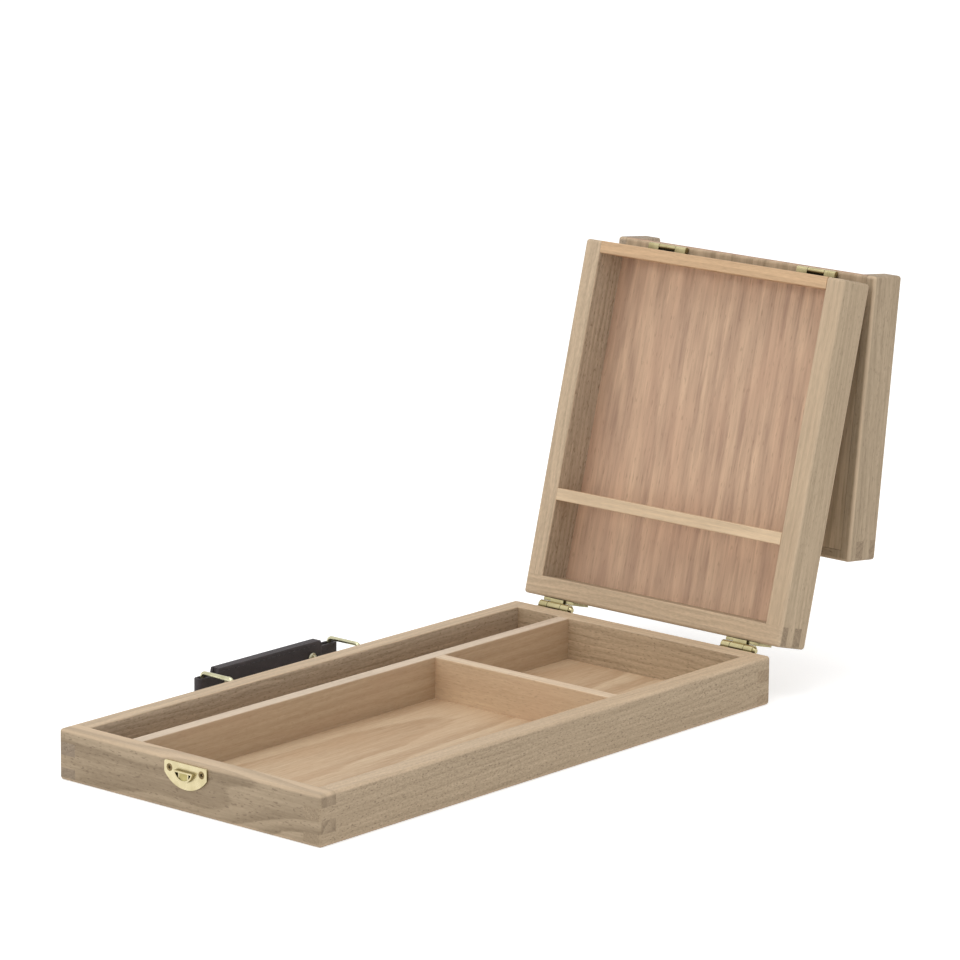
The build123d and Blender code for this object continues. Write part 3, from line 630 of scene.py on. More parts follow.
@dataclass(frozen=True)
class LeatherFinish:
    """Dyed strap leather, or thread waxed like it.

    Attributes:
        name: the leather.
        face: hex colour of the dyed face.
        rubbed: hex colour of raised, handled spots.
        pebble: size of its grain, in mm.
        roughness: of the face.
        crease: width of the creases between pebbles, beside a pebble's size.
        relief: their depth, in mm.
        handled_size: size of the handled spots, in mm.
        handled_noise: noise between which they come up.
        handled_roughness: roughness that they add.
    """

    name: str
    face: str
    rubbed: str
    pebble: float
    roughness: float
    crease: float = 0.25
    relief: float = 0.12
    handled_size: tuple[float, float, float] = (18.0, 18.0, 9.0)
    handled_noise: tuple[float, float] = (0.45, 0.7)
    handled_roughness: float = 0.15

    def material(self) -> Material:
        """The leather's material.

        Returns:
            A dark, softly glossy material with a pebbled grain.
        """
        material = bpy.data.materials.new(self.name)
        tree = empty_tree(material)
        place = millimetres(tree)
        cells = add_node(tree, "TexVoronoi", {"feature": "DISTANCE_TO_EDGE"}, Vector=place,
                         Scale=1 / self.pebble, Randomness=1.0)
        pebbles = smooth_range(tree, cells.outputs["Distance"], 0.0, self.crease)
        handled = stretched_noise(tree, place, self.handled_size)
        rubbed = smooth_range(tree, handled, *self.handled_noise)
        colour = blend_colour(tree, "MIX", rubbed, linear(self.face), linear(self.rubbed))
        rough = total(tree, self.roughness,
                      maths(tree, "MULTIPLY", handled, self.handled_roughness))
        bump = add_node(tree, "Bump", Strength=0.5, Distance=self.relief * MM, Height=pebbles)
        close_material(tree, bump, in0=colour, Roughness=rough)
        return material


# Smooth dyed leather, nearly black, with a soft sheen on its raised grain.
STRAP_LEATHER = LeatherFinish("dyed_strap_leather", face="332c2e", rubbed="3f3739", pebble=0.9,
                              roughness=0.56)
# Waxed thread in the same black, with the twist of its strands as a fine grain.
WAXED_THREAD = LeatherFinish("waxed_thread", face="1f1b1c", rubbed="332d2e", pebble=0.35,
                             roughness=0.35)


def dress(node: str, material: Material) -> None:
    """Gives a CAD node its finish.

    Args:
        node: the node's name.
        material: its material.
    """
    mesh = frame["nodes"][node].data
    mesh.materials.clear()
    mesh.materials.append(material)
    log.info("%s dressed in %s", node, material.name)


# ---------------------------------------------------------------- the box's wood
class Woodwork:
    """The boards of the base and the two halves of the lid."""

    def __init__(self) -> None:
        """Measures the three trays from the frame's walls and joints."""
        closing = highest_angle("rear_lid_hinge")
        unfolding = highest_angle("front_lid_hinge")
        self.base = self.tray("base", 0.0, ["left", "right", "front", "rear"])
        self.rear_lid = self.tray("rear_lid", closing - math.pi, ["left", "right", "end"])
        self.front_lid = self.tray("front_lid", unfolding + closing - math.pi,
                                   ["left", "right", "end"])

    @staticmethod
    def tray(name: str, angle: float, walls: list[str]) -> TrayFrame:
        """The frame of a tray with the named walls, turned by an angle in radians."""
        return TrayFrame.round_nodes(angle, [f"{name}_{wall}_wall" for wall in walls])

    def boards(self) -> list[Board]:
        """Lists every board with its cut.

        Returns:
            The boards.
        """
        base, rear_lid, front_lid = self.base, self.rear_lid, self.front_lid
        along, across, panel = Grain.ALONG, Grain.ACROSS, Grain.PANEL
        boards = []
        for number, (name, tray, right_wood, shade) in enumerate((
            ("base", base, QUARTERED_ELM, 1.0),
            ("rear_lid", rear_lid, RIFT_ELM, 1.09),
            ("front_lid", front_lid, RIFT_ELM, 0.98),
        )):
            boards += [
                Board(f"{name}_left_wall", tray, along, GREY_ELM, 1.3 + number, (90, -40),
                      shade=1.08),
                Board(f"{name}_right_wall", tray, along, right_wood, 4.7 + number, (75, 240),
                      shade=shade, end_dark=0.25),
            ]
        boards += [
            Board("base_front_wall", base, across, FLAT_SAWN_ELM, 7.1, (-6, 12), (-0.06, 0.08),
                  shade=0.92, wander=22.0, end_dark=0.4),
            Board("base_rear_wall", base, across, WALL_ELM, 8.4, (330, 70), shade=1.14),
            Board("rear_lid_end_wall", rear_lid, across, WALL_ELM, 9.2, (-60, 70), shade=0.94),
            Board("front_lid_end_wall", front_lid, across, WALL_ELM, 10.6, (260, 60)),
        ]
        for number, (name, tray) in enumerate((("rear_lid", rear_lid), ("front_lid", front_lid))):
            boards.append(Board(f"{name}_panel", tray, panel, PANEL_VENEER, 12.2 + number,
                                (-20, 90), (0.05, 0.01), rimmed=False, back=WALL_ELM))
        return boards + [
            Board("base_floor", base, panel, FLOOR_PLY, 14.9, (-90, -30), (0.02, -0.06),
                  rimmed=False, shade=0.96),
            Board("long_divider", base, along, DIVIDER_BEECH, 15.5, (60, 50), shade=0.78),
            Board("cross_divider", base, across, BEECH, 16.8, (50, 50), shade=1.08),
            Board("holder_rail", rear_lid, across, RAIL_BEECH, 17.9, (60, 60)),
            Board("retaining_slat", rear_lid, across, SLAT_BEECH, 18.3, (60, 60)),
        ]

    def finish(self) -> None:
        """Gives each board its own wood."""
        for board in self.boards():
            dress(board.node, wood(board))


# ---------------------------------------------------------------- surfaces
# Points on a round corner of a thin sheet and of the strap, and on a bend of the wire.
CORNER_POINTS, STRAP_POINTS, BEND_STEPS = 4, 5, 9
# Steps round the wire, and rows and steps round a rivet's cap and a stitch.
WIRE_COLUMNS, RIVET_ROWS, RIVET_COLUMNS, STITCH_ROWS, STITCH_COLUMNS = 20, 19, 32, 7, 6


def surfaces(name: str, grids: np.ndarray, closed_rows: bool, crease: float = 40.0) -> Piece:
    """Makes one mesh from grids of points, each a closed section carried along a path.

    Args:
        name: the piece's name.
        grids: points in metres, by grid, row along the path, column round the section and
            coordinate.
        closed_rows: whether the last row joins the first. If not, the first and last rows are
            each one point, the poles.
        crease: angle in degrees above which an edge stays sharp.

    Returns:
        The new object, with its faces pointing outwards.
    """
    count, rows, columns, _ = grids.shape
    index = np.arange(rows * columns).reshape(rows, columns)
    if not closed_rows:
        index[0], index[-1] = index[0, 0], index[-1, 0]
    ahead = np.roll(index, -1, 0) if closed_rows else index[1:]
    behind = index if closed_rows else index[:-1]
    quads = np.stack([behind, np.roll(behind, -1, 1), np.roll(ahead, -1, 1), ahead], -1)
    quads = quads.reshape(-1, 4)
    points = grids[0].reshape(-1, 3)
    first, second, third = (points[quads[:, k]] - points.mean(0) for k in (0, 1, 2))
    fourth = points[quads[:, 3]] - points.mean(0)
    volume = np.einsum("ij,ij->", first, np.cross(second, third) + np.cross(third, fourth))
    if volume < 0:
        quads = quads[:, ::-1]
    used, quads = np.unique(quads, return_inverse=True)
    quads = quads.reshape(-1, 4)
    corners = grids.reshape(count, -1, 3)[:, used].reshape(-1, 3)
    faces = (quads[None] + (np.arange(count) * len(used))[:, None, None]).reshape(-1, 4)
    flat = faces == np.roll(faces, 1, 1)
    whole = faces[~flat.any(1)]
    folded = faces[flat.any(1)][~flat[flat.any(1)]].reshape(-1, 3)
    mesh = bpy.data.meshes.new(name)
    mesh.from_pydata(corners, [], whole.tolist() + folded.tolist())
    mesh.shade_smooth()
    mesh.set_sharp_from_angle(angle=math.radians(crease))
    return add_object(name, mesh)


def revolved(profile: np.ndarray, columns: int) -> np.ndarray:
    """Turns a profile round the z axis: x = r cos a, y = r sin a, z = z.

    Args:
        profile: radius and height of each row.
        columns: how many steps a full turn has.

    Returns:
        A grid of points.
    """
    angle = np.arange(columns) * 2 * np.pi / columns
    radius, height = profile[:, :1], profile[:, 1:]
    return np.stack([radius * np.cos(angle), radius * np.sin(angle), height + 0 * angle], -1)


def rounded_section(half_width: np.ndarray, half_height: np.ndarray, radius: float,
                    corner: int) -> tuple[np.ndarray, np.ndarray]:
    """A rectangle with round corners: a corner's centre plus a circle's point, quarter by quarter.

    Args:
        half_width: half the section's width in each row.
        half_height: half its height in each row.
        radius: of the corners.
        corner: points per corner.

    Returns:
        The section's two coordinates, each by row and column.
    """
    step = np.arange(4 * corner)
    angle = (step + 0.5) * 2 * np.pi / (4 * corner)
    spread = (step % corner) * (np.pi / 2) / (corner - 1) + step // corner * np.pi / 2
    wide = np.sign(np.cos(angle)) * (half_width[:, None] - radius) + radius * np.cos(spread)
    high = np.sign(np.sin(angle)) * (half_height[:, None] - radius) + radius * np.sin(spread)
    return wide, high


@dataclass(frozen=True)
class Place:
    """A place on a piece: its origin and two directions, in mm in a tray's frame.

    Attributes:
        origin: the point.
        across: direction of the place's x.
        out: direction of its z, out of the surface.
        tray: the tray that the place is given in, or none for the model itself.
    """

    origin: tuple[float, float, float]
    across: tuple[float, float, float]
    out: tuple[float, float, float]
    tray: TrayFrame | None = None

    def matrix(self) -> np.ndarray:
        """The place as a 3 by 4 matrix in metres: its x, y and z in columns, then its origin."""
        x, z = np.array(self.across, float), np.array(self.out, float)
        origin = np.array(self.origin) * MM
        turn = np.eye(3)
        if self.tray is not None:
            turn = np.array(self.tray.turn).T
            origin = turn @ (origin + np.array((0.0, self.tray.low.y, self.tray.low.z)))
        return np.column_stack([turn @ x, turn @ np.cross(z, x), turn @ z, origin])

    def carry(self, grids: np.ndarray) -> np.ndarray:
        """Moves points in mm in the place to points in metres in the model."""
        matrix = self.matrix()
        return grids * MM @ matrix[:, :3].T + matrix[:, 3]


def finish_piece(piece: Piece, body: str, slot: str, material: Material, *nodes: str) -> None:
    """Gives a new piece its body and material, and hides what it stands for.

    Args:
        piece: the new piece.
        body: the body it rides on.
        slot: the record's material slot; not used.
        material: its material.
        nodes: the CAD nodes that it replaces.
    """
    piece.data.materials.append(material)
    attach(piece, body)
    if nodes:
        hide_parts(*nodes)
    log.info("%s rides on %s", piece.name, body)


# ---------------------------------------------------------------- screws
@dataclass(frozen=True)
class Screw:
    """A small countersunk screw with a cross recess, in mm.

    Attributes:
        head_radius: radius of the head.
        head_depth: depth of its cone.
        lip: depth of its straight edge.
        shank_radius: radius of the shank.
        length: from the head's face to the tip.
        dome: how far the head's middle rises over its edge.
        sink: how far that edge lies below the plate.
        recess_reach: from the centre to the end of a recess arm.
        recess_width: half the width of an arm.
        recess_depth: depth at the centre.
        arm_end: length over which an arm rises to its end.
        arm_wall: width over which its sides rise.
        rows: steps from the head's middle to its edge.
        columns: steps round the screw.
        turns: turn of a group's first cross and from one to the next, in degrees.
    """

    head_radius: float = 2.3
    head_depth: float = 1.1
    lip: float = 0.12
    shank_radius: float = 1.1
    length: float = 3.5
    dome: float = 0.18
    sink: float = 0.02
    recess_reach: float = 1.45
    recess_width: float = 0.3
    recess_depth: float = 0.95
    arm_end: float = 0.7
    arm_wall: float = 0.2
    rows: int = 26
    columns: int = 64
    turns: tuple[float, float] = (20.0, 37.0)

    def grid(self, turn: float) -> np.ndarray:
        """Works out one screw: a dome less a cross of two smooth troughs, then cone and shank.

        Args:
            turn: how far the cross is turned, in degrees.

        Returns:
            A grid of points, with the plate's face at z = 0.
        """
        face = np.linspace(0.0, self.head_radius, self.rows)
        angle = np.arange(self.columns) * 2 * np.pi / self.columns
        radius = face[:, None] + 0 * angle
        height = self.dome * (1 - (radius / self.head_radius) ** 2) - self.sink
        arm = angle - math.radians(turn)
        x, y = np.abs(radius * np.cos(arm)), np.abs(radius * np.sin(arm))
        height = height - self.recess_depth * np.maximum(self.trough(x, y), self.trough(y, x))
        top = np.stack([radius * np.cos(angle), radius * np.sin(angle), height], -1)
        under = np.array([
            (self.head_radius, -self.lip), (self.shank_radius, -self.head_depth),
            (self.shank_radius, -self.length), (0.0, -self.length - self.shank_radius),
        ])
        return np.concatenate([top, revolved(under, self.columns)])

    def trough(self, along: np.ndarray, across: np.ndarray) -> np.ndarray:
        """One trough: 1 inside its reach and width, easing to 0 at its walls."""
        end = np.clip((self.recess_reach - along) / self.arm_end, 0, 1)
        return end * np.clip((self.recess_width + self.arm_wall / 2 - across) / self.arm_wall, 0, 1)

    def group(self, name: str, places: list[Place], points: list[tuple[float, float]]) -> Piece:
        """Makes one piece of all the screws of a group.

        Args:
            name: the piece's name.
            places: the leaves or plates that carry the screws, at their outer faces.
            points: the screws' places on each.

        Returns:
            The piece.
        """
        first, step = self.turns
        grids = []
        for place in places:
            for x, y in points:
                turn = (step * len(grids) + first) % 90.0
                grids.append(place.carry(self.grid(turn) + np.array((x, y, 0.0))))
        return surfaces(name, np.stack(grids), closed_rows=False, crease=50.0)


def set_screws(node: str, body: str, screw: Screw, material: Material,
               spread: tuple[float, float], places: list[Place]) -> None:
    """Replaces a group of plain screws by ones with a cross recess.

    Args:
        node: the CAD group.
        body: the body it rides on.
        screw: the kind of screw.
        material: its metal.
        spread: half the spacing of a pair, and its distance from the place's origin.
        places: where the pairs sit.
    """
    half, distance = spread
    piece = screw.group(f"{node}_crossed", places, [(-half, distance), (half, distance)])
    finish_piece(piece, body, "bronze_screws", material, node)


# ---------------------------------------------------------------- hinges and latch
@dataclass(frozen=True)
class Fittings:
    """Hinges and latch, with the places of their screws, in mm.

    Attributes:
        trays: the base and the two halves of the lid.
        lower_x: from the middle of the box to the middle of a lower hinge.
        lower_axis_z: height of the lower hinges' axis above the underside.
        lower_axis_in_lid: its height above the rear half's outer face.
        lower_leaf: thickness of a lower leaf.
        lower_screws: half the spacing of a leaf's screws, and their distance from the axis.
        upper_x: from the middle of the box to the middle of an upper hinge.
        upper_axis_rear: the upper hinges' axis in the rear half's frame.
        upper_axis_front: the line in the front half's frame that its screws are set out from.
        upper_leaf: thickness of an upper leaf.
        upper_screws: half the spacing of a leaf's screws, and their distance from that line.
        latch_screws: half the spacing of a plate's screws, and their distance from the rim.
        latch_plate: thickness of the plates.
        latch_rim: height of the base's rim.
        lid_rim: height of a lid's rim above its outer face.
        front_length: length of the front half.
        front_face: the base's front face.
        rear_face: the base's rear face.
        bulge_reach: radius of the stop's bow across the hood.
        bulge_sweep: angle at which the bow ends, in radians.
        bulge_rise: how far it bows out.
        bulge_height: height of the stop.
        bulge_level: from the rim down to its middle.
    """

    trays: "Woodwork"
    lower_x: float = 71.75
    lower_axis_z: float = 29.2
    lower_axis_in_lid: float = 28.6
    lower_leaf: float = 2.0
    lower_screws: tuple[float, float] = (6.5, 11.5)
    upper_x: float = 57.75
    upper_axis_rear: float = 227.0
    upper_axis_front: float = 2.0
    upper_leaf: float = 1.0
    upper_screws: tuple[float, float] = (7.5, 11.5)
    latch_screws: tuple[float, float] = (12.2, 5.5)
    latch_plate: float = 1.2
    latch_rim: float = 30.0
    lid_rim: float = 27.5
    front_length: float = 175.0
    front_face: float = -200.0
    rear_face: float = 200.0
    bulge_reach: float = 5.9
    bulge_sweep: float = 2.3
    bulge_rise: float = 2.1
    bulge_height: float = 4.6
    bulge_level: float = 8.4

    def finish(self) -> None:
        """Dresses plates and pins, bows the keeper's stop, and sets screws in their places."""
        plate, hinge = BRASS_PLATE.material(), BRASS_HINGE.material()
        bronze = BRONZE_SCREW.material()
        for node in frame["nodes"]:
            if node.startswith(("lower_hinge", "upper_hinge", "latch", "hasp")):
                brass = hinge if "_hinge_" in node else plate
                dress(node, bronze if node.endswith("_screws") else brass)
        # The stop's brass is darkened as painted shade inside the hood.
        finish_piece(self.keeper_bulge(), "base", "brass", BRASS_HOOD_PAINTED_SHADE.material())
        rear, front = self.trays.rear_lid, self.trays.front_lid
        right, left, down = (1, 0, 0), (-1, 0, 0), (0, 0, -1)
        backward, forward = (0, 1, 0), (0, -1, 0)
        across, away = self.latch_screws
        single, lower, upper = (0,), (-self.lower_x, self.lower_x), (-self.upper_x, self.upper_x)
        long, short = Screw(), Screw(length=2.0)
        for node, body, screw, spread, xs, y, z, *directions in (
            ("lower_hinge_base", "base", long, self.lower_screws, lower,
             self.rear_face + self.lower_leaf, self.lower_axis_z, right, backward),
            ("lower_hinge_lid", "rear_lid", long, self.lower_screws, lower,
             -self.lower_leaf, self.lower_axis_in_lid, left, forward, rear),
            ("upper_hinge_rear", "rear_lid", short, self.upper_screws, upper,
             self.upper_axis_rear, -self.upper_leaf, right, down, rear),
            ("upper_hinge_front", "front_lid", short, self.upper_screws, upper,
             self.upper_axis_front, -self.upper_leaf, left, down, front),
            ("latch_keeper", "base", long, (across, -away), single,
             self.front_face - self.latch_plate, self.latch_rim, right, forward),
            ("hasp_plate", "front_lid", long, (across, away), single,
             self.front_length + self.latch_plate, self.lid_rim, right, backward, front),
        ):
            places = [Place((x, y, z), *directions) for x in xs]
            set_screws(f"{node}_screws", body, screw, bronze, spread, places)

    def keeper_bulge(self) -> Piece:
        """The tongue's stop in the hood: a bowed sheet, z = rise sin a at x = reach cos a."""
        thin, corner, first_angle, sunk = 0.002, 0.001, 0.08, 0.05
        sweep = np.linspace(first_angle, self.bulge_sweep, 24)
        angle = np.concatenate([[0.0], sweep, [self.bulge_sweep]])
        rise = self.bulge_rise * np.sin(angle)
        tall = np.full_like(rise, self.bulge_height / 2)
        rise[[0, -1]] = tall[[0, -1]] = thin
        wide, high = rounded_section(tall, rise / 2, corner, CORNER_POINTS)
        along = -self.bulge_reach * np.cos(angle)[:, None] + 0 * wide
        level = self.latch_plate - sunk + rise[:, None] / 2 + high
        points = np.stack([along, wide - self.bulge_level, level], -1)
        keeper = Place((0, self.front_face, self.latch_rim), (1, 0, 0), (0, -1, 0))
        return surfaces("latch_keeper_bulge", keeper.carry(points)[None], closed_rows=False)


# ---------------------------------------------------------------- handle
@dataclass(frozen=True)
class Handle:
    """The leather grip with its wire rings and brackets, in mm.

    Attributes:
        height: of the handle's centre line above the underside.
        wall_x: the left wall's outer face.
        ring_y: from the middle of the box to a ring's bars.
        wire: radius of the ring's wire.
        wall_bar_x: the ring's bar at the wall.
        ring_reach: from that bar to the bar in the grip.
        ring_width: between the centre lines of a ring's legs.
        ring_corner: bend radius of the wire.
        bracket: thickness of a bracket.
        bracket_screw: from a bracket's middle to a screw.
        strap: thickness of the strap.
        strap_edge: radius of its edges.
        grip_thickness: of the folded strap.
        grip_width: of its middle.
        end_width: of its ends.
        end_start: from the box's middle to the start of a narrow end.
        shoulder: length of the shoulder between them.
        end_reach: of the strap's loop past a ring's bar.
        stitch_pitch: from stitch to stitch.
        stitch_inset: from the strap's edge.
        stitch_radius: radius of a stitch's bead.
        stitch_share: half a bead's length, as a share of the pitch.
        rivet_y: from the box's middle to a rivet.
        rivet_radius: radius of its head.
        rivet_height: of the bead round the head.
        rivet_floor: height of the dish inside it, as a share of that.
        rivet_dish: radius of the dish, as a share of the head's.
    """

    height: float = 20.0
    wall_x: float = -100.0
    ring_y: float = 55.5
    wire: float = 1.3
    wall_bar_x: float = -101.5
    ring_reach: float = 24.5
    ring_width: float = 18.0
    ring_corner: float = 2.4
    bracket: float = 1.0
    bracket_screw: float = 9.0
    strap: float = 1.9
    strap_edge: float = 0.45
    grip_thickness: float = 6.6
    grip_width: float = 20.0
    end_width: float = 12.6
    end_start: float = 45.9
    shoulder: float = 1.5
    end_reach: float = 5.4
    stitch_pitch: float = 4.4
    stitch_inset: float = 2.2
    stitch_radius: float = 0.34
    stitch_share: float = 0.4
    rivet_y: float = 37.0
    rivet_radius: float = 3.6
    rivet_height: float = 1.2
    rivet_floor: float = 0.4
    rivet_dish: float = 0.45

    def finish(self) -> None:
        """Builds rings, grip, rivets and bracket screws, and dresses the brackets."""
        plate, wire, bronze = BRASS_PLATE.material(), BRASS_WIRE.material(), BRONZE_SCREW.material()
        leather, thread = STRAP_LEATHER.material(), WAXED_THREAD.material()
        rivet = BRASS_RIVET.material()
        for end, side in (("front", -1), ("rear", 1)):
            dress(f"handle_{end}_bracket", plate)
            ring = self.ring(f"handle_{end}_wire_ring", side)
            finish_piece(ring, f"{end}_ring", "brass", wire, f"handle_{end}_ring")
        finish_piece(self.strap_loop(), "grip", "leather", leather, "handle_grip")
        finish_piece(self.filler(), "grip", "leather", leather)
        finish_piece(self.stitches(), "grip", "leather", thread)
        finish_piece(self.rivets(), "grip", "brass", rivet, "handle_rivets")
        dress("handle_bracket_screws", bronze)
        outer_x = self.wall_x - self.bracket
        places = [
            Place((outer_x, side * self.ring_y, self.height), (0, -1, 0), (-1, 0, 0))
            for side in (-1, 1)
        ]
        set_screws("handle_bracket_screws", "base", Screw(length=6.0), bronze,
                   (self.bracket_screw, 0.0), places)

    def ring(self, name: str, side: int) -> Piece:
        """A wire bent to a rounded rectangle: a circle carried round four legs and four bends.

        Args:
            name: the piece's name.
            side: -1 for the front ring, 1 for the rear one.

        Returns:
            The ring.
        """
        bend = np.linspace(0, np.pi / 2, BEND_STEPS)
        quarter = np.arange(4)[:, None] * np.pi / 2
        angle = (bend + quarter).ravel()
        half_reach = self.ring_reach / 2 - self.ring_corner
        half_width = self.ring_width / 2 - self.ring_corner
        step = np.repeat(np.arange(4), len(bend))
        centre_x = half_reach * np.array([1, -1, -1, 1])[step]
        centre_z = half_width * np.array([1, 1, -1, -1])[step]
        out = np.stack([np.cos(angle), 0 * angle, np.sin(angle)], -1)
        line = np.stack([centre_x, 0 * angle, centre_z], -1) + self.ring_corner * out
        turn = (np.arange(WIRE_COLUMNS) * 2 * np.pi / WIRE_COLUMNS)[:, None]
        section = out[:, None] * np.cos(turn) + np.array((0.0, 1.0, 0.0)) * np.sin(turn)
        middle = (self.wall_bar_x - self.ring_reach / 2, side * self.ring_y, self.height)
        points = line[:, None] + self.wire * section + np.array(middle)
        return surfaces(name, (points * MM)[None], closed_rows=True)

    def grip_x(self) -> float:
        """The grip's middle plane."""
        return self.wall_bar_x - self.ring_reach

    def half_widths(self, along: np.ndarray) -> np.ndarray:
        """Half the strap's width: narrow at the ends, and eased to full width over the shoulder.

        Args:
            along: places along the strap.

        Returns:
            Half the width at each place.
        """
        share = np.clip((self.end_start - np.abs(along)) / self.shoulder, 0, 1)
        share = share * share * (3 - 2 * share)
        return (self.end_width + (self.grip_width - self.end_width) * share) / 2

    def strap_loop(self) -> Piece:
        """The strap: a flat section with round edges, carried round a long slot."""
        radius = (self.grip_thickness - self.strap) / 2
        end = self.ring_y + self.end_reach - self.grip_thickness / 2
        shoulder = np.linspace(self.end_start - self.shoulder, self.end_start, 8)
        straight = np.unique(np.concatenate([np.linspace(-end, end, 80), shoulder, -shoulder]))
        turn = np.linspace(0, np.pi, 17)[1:-1]
        none, out, past = 0 * straight, np.cos(turn), np.sin(turn)
        normal_x = np.concatenate([none + 1, out, none - 1, -out])
        normal_y = np.concatenate([none, past, none, -past])
        x = radius * normal_x
        y = np.concatenate([straight, end + radius * past, straight[::-1], -end - radius * past])
        flat = 0 * x + self.strap / 2
        wide, high = rounded_section(flat, self.half_widths(y), self.strap_edge, STRAP_POINTS)
        points = np.stack([
            self.grip_x() + x[:, None] + wide * normal_x[:, None],
            y[:, None] + wide * normal_y[:, None],
            self.height + high,
        ], -1)
        return surfaces("handle_strap", (points * MM)[None], closed_rows=True)

    def filler(self) -> Piece:
        """The layer between the strap's two faces, cut flush with their edges."""
        thin, overlap, setback, first_share = 0.001, 0.1, 0.05, 0.9
        end = self.end_start - self.shoulder
        along = np.concatenate([[-end, -end], np.linspace(-end, end, 40), [end, end]])
        size = np.concatenate([[0.0, first_share], np.ones(40), [first_share, 0.0]])
        half = self.grip_thickness / 2 - self.strap + overlap
        tall = self.grip_width / 2 - setback
        wide, high = rounded_section(half * size + thin, tall * size + thin, thin, CORNER_POINTS)
        points = np.stack([self.grip_x() + wide, along[:, None] + 0 * wide, self.height + high], -1)
        return surfaces("handle_filler", (points * MM)[None], closed_rows=False)

    def stitches(self) -> Piece:
        """Two rows of stitches on each face: short beads, each a stretched half-sunk ball."""
        first_gap, last_gap = 4.5, 4.4
        rows = np.linspace(0, np.pi, STITCH_ROWS)
        ball = revolved(np.stack([np.sin(rows), -np.cos(rows)], -1), STITCH_COLUMNS)
        bead = np.stack([
            ball[..., 0] * self.stitch_radius,
            ball[..., 2] * self.stitch_pitch * self.stitch_share,
            ball[..., 1] * self.stitch_radius,
        ], -1)
        along = np.arange(first_gap - self.end_start, self.end_start - last_gap, self.stitch_pitch)
        high = self.grip_width / 2 - self.stitch_inset
        depth = self.grip_thickness / 2
        grids = [
            bead + np.array((self.grip_x() + face * depth, y, self.height + level))
            for face in (-1, 1) for level in (-high, high) for y in along
        ]
        return surfaces("handle_stitches", np.stack(grids) * MM, closed_rows=False)

    def rivets(self) -> Piece:
        """Two dished rivet heads on each face: flat, with a bead h sin a round the dish."""
        foot_share, sunk = 0.98, 0.2
        share = np.linspace(0, 1, RIVET_ROWS)
        bead = np.clip((share - self.rivet_dish) / (1 - self.rivet_dish), 0, 1)
        level = self.rivet_floor + (1 - self.rivet_floor) * np.sin(np.pi * bead)
        cap = np.stack([self.rivet_radius * share, self.rivet_height * level], -1)
        foot = [(self.rivet_radius * foot_share, -sunk), (0.0, -sunk)]
        cap_grid = revolved(np.concatenate([cap, foot]), RIVET_COLUMNS)
        depth = self.grip_thickness / 2
        grids = [
            Place((self.grip_x() + face * depth, side * self.rivet_y, self.height), (0, 1, 0),
                  (face, 0, 0)).carry(cap_grid)
            for face in (-1, 1) for side in (-1, 1)
        ]
        return surfaces("handle_rivet_caps", np.stack(grids), closed_rows=False)


# ---------------------------------------------------------------- studio
@dataclass(frozen=True)
class Camera:
    """The photograph's view.

    Attributes:
        azimuth: degrees to the right of straight ahead.
        elevation: degrees above the horizon.
        roll: degrees that the camera is turned about its own axis.
        distance: from the target, in metres.
        focal_pixels: focal length in pixels of the 960 pixel frame.
        target: the point at the frame's centre, in metres.
    """

    azimuth: float = 40.50
    elevation: float = 12.97
    roll: float = 0.567
    distance: float = 2.9495
    focal_pixels: float = 5161.45
    target: tuple[float, float, float] = (0.04053, 0.0, 0.16241)

    def build(self) -> None:
        """Creates the camera and makes it the scene's."""
        frame_pixels = 960
        data = bpy.data.cameras.new("photo_camera")
        data.sensor_width = 36.0
        data.lens = self.focal_pixels * data.sensor_width / frame_pixels
        data.clip_end = 50.0
        camera = add_object("photo_camera", data)
        azimuth, elevation = math.radians(self.azimuth), math.radians(self.elevation)
        back = Vector((
            math.sin(azimuth) * math.cos(elevation),
            -math.cos(azimuth) * math.cos(elevation),
            math.sin(elevation),
        ))
        level = back.to_track_quat("Z", "Y").to_matrix()
        turned = level @ Matrix.Rotation(math.radians(self.roll), 3, "Z")
        place = Matrix.Translation(Vector(self.target) + back * self.distance)
        camera.matrix_world = place @ turned.to_4x4()
        bpy.context.scene.camera = camera


@dataclass(frozen=True)
class SoftBox:
    """A rectangular studio lamp.

    Attributes:
        name: the lamp's name.
        place: where it stands, in metres.
        width: its width, in metres.
        height: its height, in metres.
        power: in watts.
    """

    name: str
    place: tuple[float, float, float]
    width: float
    height: float
    power: float

    def build(self, aim: Vector) -> None:
        """Creates the lamp and turns it to the object.

        Args:
            aim: the point it lights.
        """
        data = bpy.data.lights.new(self.name, "AREA")
        data.shape = "RECTANGLE"
        data.size, data.size_y = self.width, self.height
        data.energy = self.power
        lamp = add_object(self.name, data)
        place = Vector(self.place)
        turn = (place - aim).to_track_quat("Z", "Y").to_matrix().to_4x4()
        lamp.matrix_world = Matrix.Translation(place) @ turn


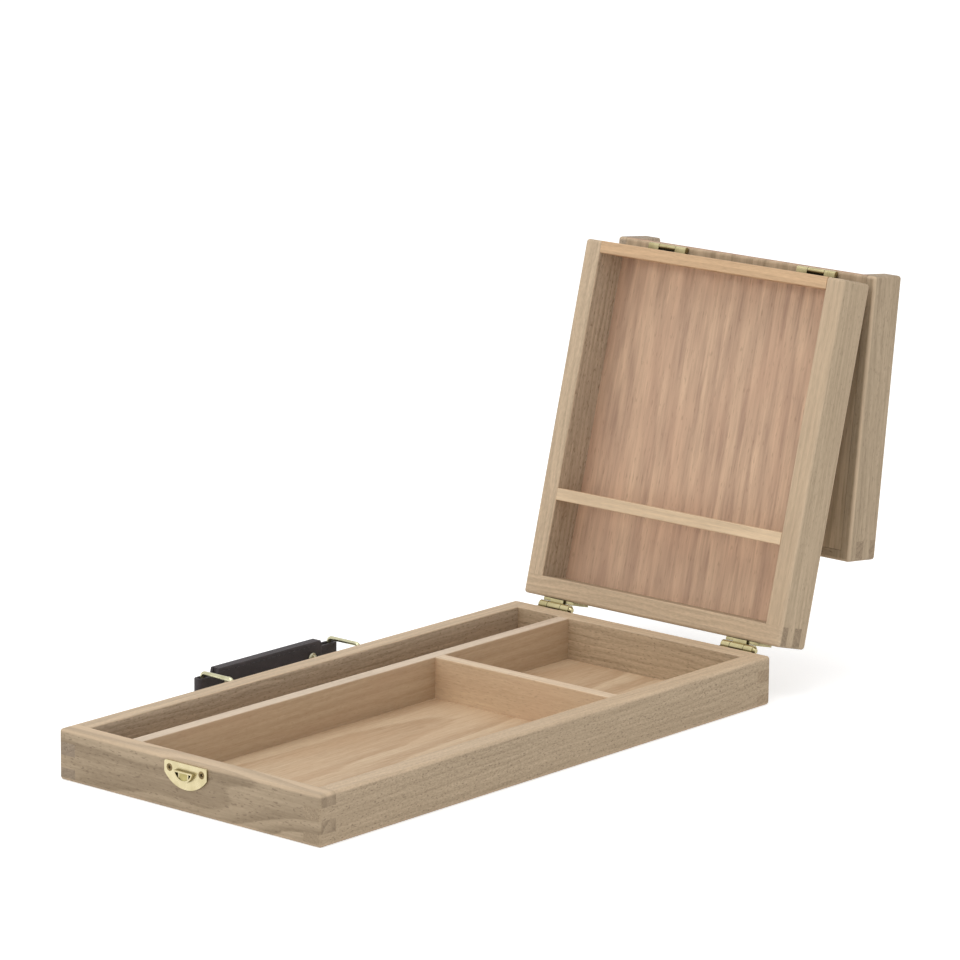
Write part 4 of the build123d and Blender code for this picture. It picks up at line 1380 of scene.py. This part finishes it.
class Studio:
    """White floor, even room light and three soft lamps."""

    floor_reach = 6.0
    card = 0.8
    card_glow = 0.56
    room_light = 0.67
    lamps = (
        SoftBox("top_softbox", (-0.3, -0.4, 2.4), 1.8, 1.8, 15.5),
        SoftBox("front_softbox", (-0.6, -2.6, 1.3), 1.6, 1.2, 10.8),
        SoftBox("right_softbox", (2.6, 0.3, 0.32), 1.8, 0.6, 10.3),
    )

    def floor(self, height: float) -> None:
        """Lays the floor: a sheet of white card that keeps the object's shadow.

        Args:
            height: the level that the object stands on, in metres.
        """
        reach = self.floor_reach
        sides = ((-1, -1), (1, -1), (1, 1), (-1, 1))
        corners = [(x * reach, y * reach, height) for x, y in sides]
        mesh = bpy.data.meshes.new("floor")
        mesh.from_pydata(corners, [], [(0, 1, 2, 3)])
        mesh.materials.append(self.floor_card())
        floor = add_object("floor", mesh)

    def floor_card(self) -> Material:
        """Matt card that the camera, and what mirrors it, sees as white round its shadow.

        Returns:
            The floor's material.
        """
        material = bpy.data.materials.new("white_card")
        tree = empty_tree(material)
        strength = maths(tree, "MULTIPLY", self.seen_directly(tree), self.card_glow)
        card = add_node(tree, "BsdfDiffuse", Color=(self.card,) * 3 + (1.0,))
        glow = add_node(tree, "Emission", Color=(1.0,) * 4, Strength=strength)
        both = add_node(tree, "AddShader", in0=card.outputs[0], in1=glow.outputs[0])
        add_node(tree, "OutputMaterial", in0=both.outputs[0])
        return material

    def seen_directly(self, tree: Tree) -> Socket:
        """Tells the rays that show a backdrop from those that light the object.

        Args:
            tree: the node tree.

        Returns:
            1 for camera, glossy and transmitted rays, else 0.
        """
        path = add_node(tree, "LightPath")
        glossy, through = path.outputs["Is Glossy Ray"], path.outputs["Is Transmission Ray"]
        mirrored = maths(tree, "MAXIMUM", glossy, through)
        return maths(tree, "MAXIMUM", path.outputs["Is Camera Ray"], mirrored)

    def room(self) -> None:
        """Fills the room with even light, seen as white behind the object."""
        world = bpy.data.worlds.new("studio")
        bpy.context.scene.world = world
        tree = empty_tree(world)
        extra = maths(tree, "MULTIPLY", self.seen_directly(tree), 1.0 - self.room_light)
        light = add_node(tree, "Background", Color=(1.0,) * 4,
                         Strength=total(tree, extra, self.room_light))
        add_node(tree, "OutputWorld", in0=light.outputs[0])

    def build(self) -> None:
        """Sets floor, room, lamps, camera and the plain view transform."""
        low, high = cad_box
        self.floor(low[2])
        self.room()
        aim = (Vector(low) + Vector(high)) / 2
        for lamp in self.lamps:
            lamp.build(aim)
        Camera().build()
        bpy.context.scene.view_settings.view_transform = "Standard"


def main() -> None:
    """Dresses the box and builds the studio."""
    logging.basicConfig(level=logging.INFO, format="%(message)s")
    woodwork = Woodwork()
    woodwork.finish()
    Fittings(woodwork).finish()
    Handle().finish()
    Studio().build()


if __name__ == "__main__":
    main()
